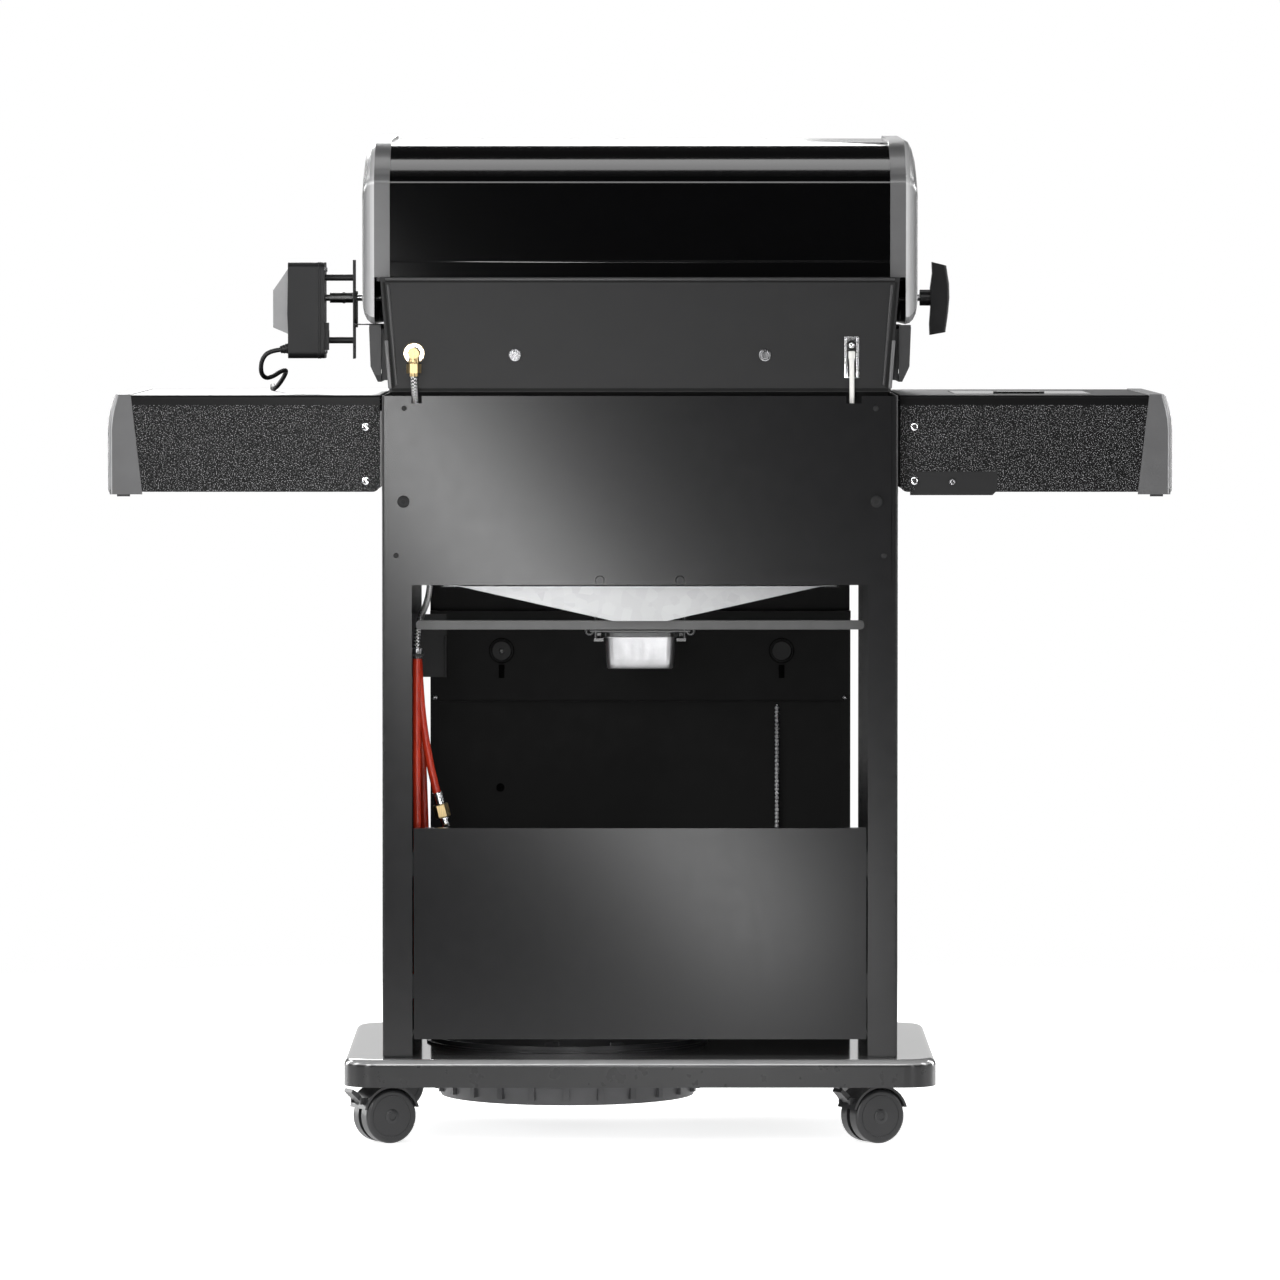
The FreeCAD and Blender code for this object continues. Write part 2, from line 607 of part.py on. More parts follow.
def lid_edges(points, x):
    p = [V(x, y, z) for y, z in points]
    return [
        Part.LineSegment(p[0], p[1]).toShape(), Part.Arc(p[1], p[2], p[3]).toShape(),
        Part.Arc(p[3], p[4], p[5]).toShape(), Part.LineSegment(p[5], p[6]).toShape(),
        Part.Arc(p[6], p[7], p[8]).toShape(), Part.LineSegment(p[8], p[9]).toShape(),
    ]


def closed_profile(points, x, corner=False):
    edges = lid_edges(points, x)
    rear, front = V(x, *points[0]), V(x, *points[-1])
    if corner:
        # The cap's rear lower corner is cut back so that it swings clear of the cheek.
        knee = V(x, points[0][0] - 24, points[-1][1])
        edges.append(Part.LineSegment(front, knee).toShape())
        edges.append(Part.LineSegment(knee, rear).toShape())
    else:
        edges.append(Part.LineSegment(front, rear).toShape())
    return Part.Wire(edges)


def lid_shell():
    """The enamelled skin: one folded sheet, hemmed along its front lower edge."""
    outer = Part.Face(closed_profile(lid_outline(0, 1058), -322)).extrude(V(644, 0, 0))
    inner = Part.Face(closed_profile(lid_outline(-1.4, 1040), -330)).extrude(V(660, 0, 0))
    skin = outer.cut(inner)
    # Below the side walls' slope nothing is left but the skin's own two edges.
    hem = box(-300, 300, -211.5, -203, 1005.5, 1007.5)
    stem_hole = rod("Y", 5, 0, 1122, -230, -180)
    return fuse([skin, hem]).cut(stem_hole)


def lid_end_caps():
    """Cast end caps: a rim that laps over the skin's edge, and a domed outer wall."""
    sections = []
    for step in (0.0, 0.35, 0.65, 0.88, 1.0):
        x = CAP_FLAT + (CAP_OUT - CAP_FLAT) * step
        pull = 1 - math.sqrt(1 - 0.97 * step**2)
        squeeze = (0.07 * pull, 0.42 * pull, 0.22 * pull)
        sections.append(closed_profile(lid_outline(3.5, 1014, squeeze), x, True))
    dome = Part.makeLoft(sections, True, True)
    rim = Part.Face(closed_profile(lid_outline(3.5, 1063), SKIN_HALF)).extrude(V(19.05, 0, 0))
    room = Part.Face(closed_profile(lid_outline(0, 1000), SKIN_HALF - 5)).extrude(V(24, 0, 0))
    rim = rim.cut(room)
    pocket_out = lid_outline(-8, 1040, (0.05, 0.2, -0.02))
    pocket = Part.Face(closed_profile(pocket_out, CAP_FLAT - 1)).extrude(V(9, 0, 0))
    slot = rod("X", SPIT_R + 3.2, SPIT_Y, SPIT_Z, 300, 360)
    slot = slot.fuse(box(300, 360, SPIT_Y - SPIT_R - 3.2, SPIT_Y + SPIT_R + 3.2, 990, SPIT_Z))
    pin = rod("X", HINGE_R, HINGE_Y, HINGE_Z, 310.5, 335)
    return both(fuse([dome.cut(pocket), rim, pin]).cut(slot))


def lid_handle():
    bar = rod("X", 13, -262, 1062, -262, 262)
    feet = [box(x - 9, x + 9, -262, -205.5, 1055, 1069) for x in (-235, 235)]
    behind = Part.Face(closed_profile(lid_outline(0, 1040), -330)).extrude(V(660, 0, 0))
    return fuse([bar] + feet).cut(behind)


def thermometer():
    """A dial on the front of the lid with a probe through the skin."""
    dial = Part.makeCylinder(37, 12, V(0, -202.0, 1122), V(0, -1, 0))
    ring = Part.makeCylinder(39, 4, V(0, -214.0, 1122), V(0, -1, 0))
    ring = ring.cut(Part.makeCylinder(34, 6, V(0, -213.0, 1122), V(0, -1, 0)))
    probe = Part.makeCylinder(4, 70, V(0, -203.0, 1122), V(0, 1, 0))
    behind = Part.Face(closed_profile(lid_outline(0, 1040), -330)).extrude(V(660, 0, 0))
    return fuse([dial.cut(behind), ring, probe])


# --- spit ---------------------------------------------------------------------------------------
def spit_rod():
    shaft = rod("X", SPIT_R, SPIT_Y, SPIT_Z, -349, 399)
    sleeve = rod("X", 6.5, SPIT_Y, SPIT_Z, 358.5, 387)
    collar = rod("X", 7.2, SPIT_Y, SPIT_Z, 368, 371)
    return fuse([shaft, sleeve, collar])


def spit_forks():
    forks = []
    for x, way in ((-120, 1), (120, -1)):
        hub = rod("X", 11, SPIT_Y, SPIT_Z, x - 9, x + 9)
        yoke = box(x - 2, x + 2, SPIT_Y - 34, SPIT_Y + 34, SPIT_Z - 5, SPIT_Z + 5)
        parts = [hub, yoke]
        for y in (-31, 31):
            a, b = sorted((x, x + way * 78))
            parts.append(rod("X", 2.6, SPIT_Y + y, SPIT_Z, a, b))
        screw = rod("Z", 3, x, SPIT_Y, SPIT_Z + 8, SPIT_Z + 22)
        wing = box(x - 1.5, x + 1.5, SPIT_Y - 9, SPIT_Y + 9, SPIT_Z + 18, SPIT_Z + 30)
        fork = fuse(parts + [screw, wing]).cut(rod("X", SPIT_R, SPIT_Y, SPIT_Z, x - 20, x + 20))
        forks.append(fork)
    return Part.makeCompound(forks)


def spit_handle():
    """The wing-shaped hand grip on the spit's left end."""
    hub = rod("X", 10, SPIT_Y, SPIT_Z, -370, -349)
    top, low = 1081.5, 990.5
    outline = [
        (-362, SPIT_Z + 12), (-362.5, SPIT_Z - 12), (-361, low + 14), (-361.5, low), (-381, low + 3.5),
        (-384.5, SPIT_Z - 18), (-386, SPIT_Z), (-385.5, SPIT_Z + 18), (-382, top - 4.5), (-364, top),
        (-364.5, top - 14),
    ]
    wing = prism("XZ", outline, SPIT_Y - 13, SPIT_Y + 13)
    edges = [e for e in wing.Edges if e.BoundBox.XMax < -380 and e.BoundBox.YLength < 1]
    wing = wing.makeFillet(3.0, edges)
    return fuse([hub, wing])


def rotisserie_bracket():
    plate = box(355.5, 357.3, SPIT_Y - 32, SPIT_Y + 32, 961, 1084)
    inner = box(352.4, 355.5, SPIT_Y - 14, SPIT_Y + 14, 1000, 1045)
    flange = box(319.5, 356, SPIT_Y + 16, SPIT_Y + 60, 1003.3, 1004.8)
    foot = box(320, 324, SPIT_Y + 16, SPIT_Y + 60, 1002.2, 1004.8)
    posts = []
    for z in (1062, 984):
        posts.append(rod("X", 4, SPIT_Y + 14, z, 356, 392.5))
    plate = cut(fuse([plate, inner, flange, foot] + posts), [rod("X", 7.6, SPIT_Y, SPIT_Z, 340, 360)])
    slit = box(350, 359, SPIT_Y - 7.6, SPIT_Y + 7.6, SPIT_Z, 1090)
    return plate.cut(slit)


def rotisserie_motor():
    """The motor's housing, with a tapered nose on its outer side and a cord gland below."""
    body = box(392.5, 438, SPIT_Y - 38, SPIT_Y + 38, 961.6, 1081)
    uprights = [e for e in body.Edges if abs(e.tangentAt(e.FirstParameter).x) > 0.9]
    body = body.makeFillet(8.0, uprights)
    nose_in = [V(438, SPIT_Y + a, z) for a, z in ((-30, 992), (30, 992), (30, 1073), (-30, 1073))]
    nose_out = [V(457, SPIT_Y + a, z) for a, z in ((-22, 1000), (22, 1000), (22, 1046), (-22, 1046))]
    nose = Part.makeLoft(
        [Part.makePolygon(nose_in + nose_in[:1]), Part.makePolygon(nose_out + nose_out[:1])], True, True
    )
    switch = box(387.3, 393, SPIT_Y + 19.5, SPIT_Y + 33.5, 972, 1006)
    gland = Part.makeCone(7.0, 4.2, 13.3, V(436, SPIT_Y, 974.2), V(13, 0, -2.2))
    shell = fuse([body, nose, switch, gland])
    return shell.cut(rod("X", SPIT_R + RUNNING, SPIT_Y, SPIT_Z, 380, 412))


MOTOR_ROUTE = [
    (449.0, 50.0, 972.0), (463.0, 50.0, 970.5), (472.5, 49.0, 960.0), (474.0, 45.0, 944.0),
    (469.0, 30.5, 936.0), (460.0, 14.0, 938.0), (450.0, 0.0, 945.0), (444.5, -16.0, 946.0),
    (446.5, -34.0, 940.0), (452.5, -50.0, 931.0), (458.5, -66.0, 924.0), (462.0, -84.0, 921.9),
    (464.5, -112.0, 922.2), (467.0, -152.0, 921.9), (469.0, -198.0, 922.3), (471.5, -240.0, 925.0),
    (472.0, -240.5, 884.5),
]
COIL = dict(x=472.0, y=-240.5, z=844.0, mean=35.0, half=7.5)


def motor_cord():
    return tube_along(MOTOR_ROUTE, MOTOR_CORD_D, "motor cord")


def motor_cord_coil():
    """The rest of the cord as one neat round coil, standing on edge in front of the shelf."""
    c = COIL
    ring = Part.makeTorus(c["mean"], c["half"], V(c["x"], c["y"], c["z"]), V(0, 1, 0))
    tie = box(c["x"] - 5, c["x"] + 5, c["y"] - 8.3, c["y"] + 8.3, c["z"] - 43.3, c["z"] - 26.7)
    return ring.fuse(tie)


def mains_plug():
    """A two-pin plug that hangs beside the coil, inside its ring."""
    c = COIL
    body = box(c["x"] - 11, c["x"] + 11, c["y"] - 7, c["y"] + 7, c["z"] - 12, c["z"] + 18)
    uprights = [e for e in body.Edges if abs(e.tangentAt(e.FirstParameter).z) > 0.9]
    body = body.makeFillet(3.0, uprights)
    pins = [box(c["x"] + a - 0.8, c["x"] + a + 0.8, c["y"] - 3, c["y"] + 3, c["z"] - 24, c["z"] - 11)
            for a in (-6.3, 6.3)]
    neck = Part.makeCone(5, 3.4, 9, V(c["x"], c["y"], c["z"] + 18), V(0, 0, 1))
    return fuse([body, neck] + pins)


# --- drip tray ------------------------------------------------------------------------------------
def drip_pan():
    """A V-shaped pan of plain sheet with closed ends and a drain hole in its flat bottom."""
    def vee(drop, half, flat, y0, y1):
        low, rise = 642.0, 0.225 * (half - flat)
        points = [(-half, low + rise + drop), (-flat, low + drop), (flat, low + drop),
                  (half, low + rise + drop), (half, 700), (-half, 700)]
        return prism("XZ", points, y0, y1)

    solid = vee(0, 222, 33, -140, 258).cut(box(-300, 300, -300, 300, 684.6, 720))
    room = vee(1.1, 221, 33, -139, 257)
    pan = solid.cut(room)
    edges = [box(x0, x1, -140, 258, 684.3, 685.4) for x0, x1 in ((-241, -220.5), (220.5, 241))]
    drain = rod("Z", 14, 0, 75, 630, 650)
    return fuse([pan] + edges).cut(drain)


def drip_tray_handle():
    bar = box(-275, 275, 236, 247, 631, 642)
    ends = [e for e in bar.Edges if e.BoundBox.XLength < 1 and abs(e.tangentAt(e.FirstParameter).y) > 0.9]
    return bar.makeFillet(5.0, ends)


def cup_hanger():
    """A bent wire frame under the pan whose two long sides carry the foil cup's rim."""
    y0, y1 = -2.0, 152.0
    wires = []
    for s in (1, -1):
        wires.append(rod("Y", 2, s * 47.2, 614.0, y0, y1))
        for y in (y0, y1):
            wires.append(box(min(s * 45.4, s * 57), max(s * 45.4, s * 57), y - 2, y + 2, 612.2, 615.8))
            wires.append(rod("Z", 2, s * 55.0, y, 612.4, 646.3))
            wires.append(Part.makeTorus(4.2, 1.8, V(s * 62.5, y, 625), V(0, 1, 0)))
    for y in (y0, y1):
        wires.append(rod("X", 2, y, 625, -62, 62))
    return fuse(wires)


def foil_cup():
    y0, y1 = 10.0, 140.0

    def tub(grow, low, top):
        bottom = [V(x, y, low) for x, y in (
            (-40.5 - grow, y0 + 5 - grow), (40.5 + grow, y0 + 5 - grow),
            (40.5 + grow, y1 - 5 + grow), (-40.5 - grow, y1 - 5 + grow))]
        rim = [V(x, y, top) for x, y in (
            (-43.5 - grow, y0 - grow), (43.5 + grow, y0 - grow),
            (43.5 + grow, y1 + grow), (-43.5 - grow, y1 + grow))]
        wires = [Part.makePolygon(bottom + bottom[:1]), Part.makePolygon(rim + rim[:1])]
        return Part.makeLoft(wires, True, True)

    rim = box(-48, 48, y0 - 4.5, y1 + 4.5, 616.4, 617.4)
    return fuse([tub(0, 577, 617.4), rim]).cut(tub(-0.9, 578, 617.5))


# --- side shelves -----------------------------------------------------------------------------------
def shelf(sockets=()):
    """A folded sheet shelf. Two bolts at each end of it stand in the side panel's bracket."""
    x0, x1 = SHELF_IN, 640.0
    outer = box(x0, x1, SHELF_FRONT, SHELF_REAR, SHELF_LOW, SHELF_TOP)
    low = [
        e for e in outer.Edges
        if abs(e.tangentAt(e.FirstParameter).y) > 0.9 and e.BoundBox.XMax < x0 + 1
        and e.BoundBox.ZMax < SHELF_LOW + 1
    ]
    outer = outer.makeFillet(9.4, low)
    rolled = [
        e for e in outer.Edges
        if abs(e.tangentAt(e.FirstParameter).x) > 0.9 and e.BoundBox.ZMin > SHELF_TOP - 0.1
    ]
    outer = outer.makeFillet(3.0, rolled)
    room = box(x0 - 1, x1 - 1.2, SHELF_FRONT + 1.2, SHELF_REAR - 1.2, SHELF_LOW - 5, SHELF_TOP - 1.2)
    # The outer end is set down by a lip's depth, so that the cap's lip laps over it.
    joggle = box(LIP_X - 0.5, x1 + 1, SHELF_FRONT - 1, SHELF_REAR + 1, SHELF_TOP - LIP_STEP, SHELF_TOP + 1)
    tray = outer.cut(room).cut(joggle)
    bolts = []
    for z in (FOLD_Z, 880.0):
        for face, way in ((SHELF_REAR, 1), (SHELF_FRONT, -1)):
            head = Part.makeCylinder(5.85, 2.4, V(FOLD_X, face, z), V(0, way, 0))
            shank = Part.makeCylinder(BOLT_R, 8.5, V(FOLD_X, face, z), V(0, -way, 0))
            bolts += [head, shank]
    return fuse([tray] + bolts)


def shelf_cap():
    """The cast end piece that wraps the shelf's outer end, with two rubber foot pads."""
    outline = [
        (LIP_X, 919.5), (642, 919.5), (645, 916), (649, 903), (651.5, 890), (OVERALL_HALF, 876),
        (OVERALL_HALF, 803), (650, 798.5), (645, 797), (610, 797),
    ]
    block = prism("XZ", outline, SHELF_FRONT - 2, SHELF_REAR + 2)
    ends = [
        e for e in block.Edges
        if e.BoundBox.XMin > 644 and e.BoundBox.ZMin > 802
        and abs(e.tangentAt(e.FirstParameter).y) < 0.1
    ]
    block = block.makeFillet(6.5, ends)
    seat = box(600, 640.0, SHELF_FRONT, SHELF_REAR, 790, SHELF_TOP - LIP_STEP)
    room = [(600, 790), (649, 790), (649, 875), (645.5, 902), (641.5, 914), (600, 914)]
    hollow = prism("XZ", room, SHELF_FRONT + 3, SHELF_REAR - 3)
    pads = []
    for y0 in (SHELF_FRONT - 1.5, SHELF_REAR - 10.5):
        pads.append(box(625, 641, y0, y0 + 12, 794.5, 799))
        pads.append(box(639, 650, y0, y0 + 12, 797, 803))
    return fuse([block.cut(seat).cut(hollow)] + [p.cut(seat) for p in pads])


def shelf_left():
    """The left shelf also has the side burner's cut-out and the stay plate under its rear edge."""
    plain = mirror(shelf())
    hole = box(BURNER_X - 86, BURNER_X + 86, -98, 119.5, 900, 930)
    ear_slot = box(-502, -437.5, 119, 131.2, 900, 930)
    stay_outline = [(-331, 825), (-438, 825), (-438, 802), (-432, 796), (-331, 796)]
    stay = prism("XZ", stay_outline, SHELF_REAR, SHELF_REAR + 1.2)
    stay = stay.cut(rod("Y", 6.2, -FOLD_X, FOLD_Z, 240, 260))
    screw = rod("Y", 4.2, -383, 812, SHELF_REAR + 1.2, SHELF_REAR + 3)
    shaft_hole = rod("Y", 4.5, BURNER_X, 862, SHELF_FRONT - 2, SHELF_FRONT + 3)
    return cut(fuse([plain, stay, screw]), [hole, ear_slot, shaft_hole])


def side_burner():
    """Bowl, ring burner, pot support and valve of the side burner, hung in the left shelf."""
    cx, cy = BURNER_X, 10.0
    flange = box(cx - 98, cx + 98, -110, 131, 915.6, 917.0)
    bowl = box(cx - 84.5, cx + 84.5, -96, 117.5, 872, 917)
    room = box(cx - 83, cx + 83, -94.5, 116, 873.5, 920)
    shell = fuse([flange, bowl]).cut(room)
    ring = rod("Z", 46, cx, cy, 873, 893).cut(rod("Z", 30, cx, cy, 874, 895))
    cap = rod("Z", 20, cx, cy, 873, 890)
    bars = [box(cx - 84, cx + 84, cy - 3, cy + 3, 900, 906), box(cx - 3, cx + 3, -95, 117, 900, 906)]
    valve = rod("Y", 10, cx, 862, -214, -188)
    pipe = box(cx - 5, cx + 5, -190, -80, 860, 874)
    whole = fuse([shell, ring, cap, valve, pipe] + bars)
    bore = rod("Y", 4 + RUNNING, cx, 862, -220, -195)
    ears = [box(x0, x1, 121, 131, 917.0, 921.2) for x0, x1 in ((-501, -495.4), (-443.6, -438))]
    slots = [rod("X", 1.2 + RUNNING, 126, 919.9, x, x + 2.2) for x in (-495.8, -445.4)]
    return fuse([whole] + ears).cut(bore).cut(Part.makeCompound(slots))


def side_burner_lid():
    cx = BURNER_X
    plate = box(cx - 84.5, cx + 84.5, -96.5, 118, 917.3, 918.5)
    stiff = box(cx - 75, cx + 75, -85, 105, 915.4, 917.3)
    stiff = stiff.cut(box(cx - 71, cx + 71, -81, 101, 910, 917.3))
    leaf = box(-494.8, -444.2, 100, 125.5, 918.5, 920.6)
    barrel = rod("X", 1.2, 126, 919.9, -495.5, -443.5)
    return fuse([plate, stiff, leaf, barrel])


def knob(x, face, z, radius, depth):
    """A turned knob with a finger bar, on its own valve stem."""
    skirt = Part.makeCylinder(radius, 6, V(x, face - 0.6, z), V(0, -1, 0))
    waist = Part.makeCone(radius * 0.86, radius * 0.72, depth - 12, V(x, face - 6.6, z), V(0, -1, 0))
    bar = box(x - 5, x + 5, face - depth, face - 8, z - radius * 0.82, z + radius * 0.82)
    edges = [e for e in bar.Edges if e.BoundBox.YMax < face - depth + 1]
    bar = bar.makeFillet(2.0, edges)
    stem = Part.makeCylinder(4, 32 if radius > 22 else 24, V(x, face - 5, z), V(0, 1, 0))
    return fuse([skirt, waist, bar, stem])


# --- fasteners ----------------------------------------------------------------------------------------
def panel_screws():
    """Screws and bolts that hold the sheet panels, and the two nuts of the rear burner."""
    face = SHIELD["front"] + SHIELD["thick"]
    solids = []
    for s in (1, -1):
        for x, z in ((288, 903), (298, 723)):
            solids.append(rod("Y", 3.4, s * x, z, face, face + 1.6))
        washer = rod("Y", 7.6, s * 289, 789, face, face + 0.8)
        head = rod("Y", 6.3, s * 289, 789, face + 0.8, face + 5)
        socket = hexagon("Y", 5.5, s * 289, 789, face + 2, face + 6)
        solids.append(fuse([washer, head]).cut(socket))
        collar = rod("Y", 7.5, s * 152.7, 968, 279, 280)
        solids.append(fuse([collar, hexagon("Y", 10, s * 152.7, 968, 280, 284)]))
        solids.append(rod("Y", 3.2, s * 262, 525, POST_FRONT + 1.4, POST_FRONT + 3.4))
    return Part.makeCompound(solids)


def build():
    """Every node of the grill by name."""
    nodes = {
        "base_shelf": base_shelf(), "tank_well": tank_well(), "side_panels": side_panels(),
        "rear_heat_shield": rear_heat_shield(), "rear_lower_panel": rear_lower_panel(),
        "front_frame": front_frame(), "firebox": firebox(), "firebox_cheeks": firebox_cheeks(),
        "control_panel": control_panel(), "gas_manifold": gas_manifold(),
        "main_burners": main_burners(), "sear_plates": sear_plates(),
        "cooking_grids": cooking_grids(), "rear_burner": rear_burner(),
        "rear_gas_line": rear_gas_line(),
        "rear_electrode": rear_electrode(), "hose_bracket": hose_bracket(),
        "panel_screws": panel_screws(), "gas_hose": gas_hose(),
        "gas_hose_fitting": gas_hose_fitting(), "match_chain": match_chain(),
        "lid_shell": lid_shell(), "lid_end_caps": lid_end_caps(), "lid_handle": lid_handle(),
        "thermometer": thermometer(), "spit_rod": spit_rod(), "spit_forks": spit_forks(),
        "spit_handle": spit_handle(), "rotisserie_bracket": rotisserie_bracket(),
        "rotisserie_motor": rotisserie_motor(), "motor_cord": motor_cord(),
        "motor_cord_coil": motor_cord_coil(), "mains_plug": mains_plug(),
        "drip_pan": drip_pan(), "drip_tray_handle": drip_tray_handle(),
        "cup_hanger": cup_hanger(), "foil_cup": foil_cup(), "door": door(),
        "door_handle": bar_handle(228, -246, 430, 610, -209.0),
        "shelf_right": shelf(), "shelf_cap_right": shelf_cap(), "shelf_left": shelf_left(),
        "shelf_cap_left": mirror(shelf_cap()), "side_burner": side_burner(),
        "side_burner_lid": side_burner_lid(),
        "side_burner_knob": knob(BURNER_X, SHELF_FRONT, 862.0, 20.0, 26.0),
    }
    for i, x in enumerate(KNOB_X):
        nodes["knob_%d" % (i + 1)] = knob(x, -266.0, 850.0, 27.0, 44.0)
    for name, (x, y) in zip(("rear_right", "rear_left", "front_right", "front_left"), caster_places()):
        nodes["caster_" + name] = caster_housing(x, y, name.startswith("rear"))
        nodes["wheels_" + name] = caster_wheels(x, y)
    nodes["brake_right"] = caster_brake(*caster_places()[0])
    nodes["brake_left"] = caster_brake(*caster_places()[1])
    return nodes


os.makedirs("parts", exist_ok=True)
for node_name, node_shape in build().items():
    solids = len(node_shape.Solids)
    b = node_shape.BoundBox
    note = "" if node_shape.isValid() and solids else "  NOT VALID"
    print(
        "%-20s %2d solids  X %.1f %.1f  Y %.1f %.1f  Z %.1f %.1f%s"
        % (node_name, solids, b.XMin, b.XMax, b.YMin, b.YMax, b.ZMin, b.ZMax, note)
    )
    node_shape.exportStep("parts/%s.step" % node_name)
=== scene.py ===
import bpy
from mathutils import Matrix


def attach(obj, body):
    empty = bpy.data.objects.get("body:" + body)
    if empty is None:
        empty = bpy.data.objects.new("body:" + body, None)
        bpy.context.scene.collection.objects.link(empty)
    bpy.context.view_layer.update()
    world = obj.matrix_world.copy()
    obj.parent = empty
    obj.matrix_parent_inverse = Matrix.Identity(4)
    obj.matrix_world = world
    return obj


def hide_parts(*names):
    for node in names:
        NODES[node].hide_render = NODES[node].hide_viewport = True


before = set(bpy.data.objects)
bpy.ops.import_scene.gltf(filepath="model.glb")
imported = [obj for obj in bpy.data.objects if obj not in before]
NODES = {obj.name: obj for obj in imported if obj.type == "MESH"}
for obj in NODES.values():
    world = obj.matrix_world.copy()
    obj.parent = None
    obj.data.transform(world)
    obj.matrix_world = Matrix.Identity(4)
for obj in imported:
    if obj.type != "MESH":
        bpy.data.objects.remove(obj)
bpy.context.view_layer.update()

import math

import bmesh
import bpy
from mathutils import Matrix, Vector

MM = 0.001

# Planes and profiles that several pieces share, in millimetres.
SHIELD_FACE = 284.5  # rear face of the heat shield
FIREBOX_FACE = 279.0  # rear face of the firebox
FRONT_PANEL_FACE = -183.7  # face of the front frame that looks to the rear
CLIP_FACE = -180.1  # face of the two clips on the front frame's cross panel
CHAIN_AT = (-175, -177.5)
AXLE_HEIGHT = 33.5
CASTER_TRAIL = 16.0
CASTER_TURN = 27.0  # degrees
BUTTON = [(0, 0), (0, 5.9), (1.2, 5.9), (2.0, 5.5), (2.6, 4.6), (3.0, 3.0), (3.1, 0)]


# --- camera, light and floor -----------------------------------------------------------------
def camera():
    """The photo's view: straight from the rear (+Y), from far off and slightly from above."""
    distance, eye_height, pitch_down = 10.55, 1.084, 2.589
    data = bpy.data.cameras.new("camera")
    data.sensor_width = 36.0
    data.lens = 236.4
    data.clip_end = 60.0
    cam = bpy.data.objects.new("camera", data)
    cam.location = (0.0, distance, eye_height)
    cam.rotation_euler = (math.radians(90.0 - pitch_down), 0.0, math.radians(180.0))
    bpy.context.scene.collection.objects.link(cam)
    bpy.context.scene.camera = cam


def area_light(name, place, target, size, power, roll=0.0):
    """A soft box that points at its target, turned by roll degrees about its own axis."""
    data = bpy.data.lights.new(name, "AREA")
    data.shape = "RECTANGLE"
    data.size, data.size_y = size
    data.energy = power
    lamp = bpy.data.objects.new(name, data)
    lamp.location = place
    aim = (Vector(target) - Vector(place)).to_track_quat("-Z", "Y").to_matrix().to_4x4()
    turn = Matrix.Rotation(math.radians(roll), 4, "Z")
    lamp.matrix_world = Matrix.Translation(place) @ aim @ turn
    lamp.visible_camera = False
    bpy.context.scene.collection.objects.link(lamp)


def studio():
    """Soft boxes round the grill, a bright backdrop beyond it and a dim room elsewhere."""
    area_light("overhead", (0.25, -1.0, 4.6), (0.2, 0.1, 1.2), (3.0, 1.1), 26)
    area_light("near_upper", (0, 3.6, 2.6), (0, 0.2, 1.1), (2.6, 0.9), 28)
    area_light("quarter_right", (2.3, 3.5, 1.2), (0.3, 0.1, 1.0), (0.5, 2.4), 26)
    area_light("quarter_left", (-2.3, 3.5, 1.2), (-0.3, 0.1, 1.0), (0.5, 2.4), 24)
    area_light("rim_right", (2.7, -1.9, 1.2), (0.3, 0.0, 1.0), (0.8, 2.4), 60)
    area_light("rim_left", (-2.7, -1.9, 1.2), (-0.3, 0.0, 1.0), (0.8, 2.4), 60)
    area_light("side_right", (3.4, 0.5, 1.5), (0.3, 0.1, 0.9), (0.9, 2.6), 42)
    area_light("side_left", (-3.4, 0.5, 1.5), (-0.3, 0.1, 0.9), (0.9, 2.6), 42)
    area_light("key", (2.9, 4.6, 2.9), (0, 0.2, 0.7), (1.6, 1.6), 60)
    area_light("front_soft", (0.8, -4.4, 2.6), (0, -0.2, 0.8), (2.4, 2.0), 120)
    # A slanting strip close behind the grill draws the diagonal sheen on its rear panels.
    area_light("slanting_strip", (0.17, 1.9, 0.61), (0.17, 0.0, 0.61), (0.12, 1.3), 7.9, 36.0)
    world = bpy.data.worlds.new("studio")
    bpy.context.scene.world = world
    world.use_nodes = True
    nodes, links = world.node_tree.nodes, world.node_tree.links
    nodes.clear()
    # The camera sees plain white. The light comes from a bright disc far behind the grill.
    out = nodes.new("ShaderNodeOutputWorld")
    seen = nodes.new("ShaderNodeBackground")
    seen.inputs["Color"].default_value = (1, 1, 1, 1)
    lit = nodes.new("ShaderNodeBackground")
    way = nodes.new("ShaderNodeTexCoord")
    split = nodes.new("ShaderNodeSeparateXYZ")
    ramp = nodes.new("ShaderNodeMapRange")
    ramp.inputs["From Min"].default_value = -0.955
    ramp.inputs["From Max"].default_value = -0.996
    ramp.inputs["To Min"].default_value = 0.025
    ramp.inputs["To Max"].default_value = 0.8
    links.new(way.outputs["Generated"], split.inputs[0])
    links.new(split.outputs["Y"], ramp.inputs["Value"])
    links.new(ramp.outputs["Result"], lit.inputs["Strength"])
    path = nodes.new("ShaderNodeLightPath")
    mix = nodes.new("ShaderNodeMixShader")
    links.new(path.outputs["Is Camera Ray"], mix.inputs["Fac"])
    links.new(lit.outputs[0], mix.inputs[1])
    links.new(seen.outputs[0], mix.inputs[2])
    links.new(mix.outputs[0], out.inputs["Surface"])
    bpy.context.scene.view_settings.view_transform = "Standard"


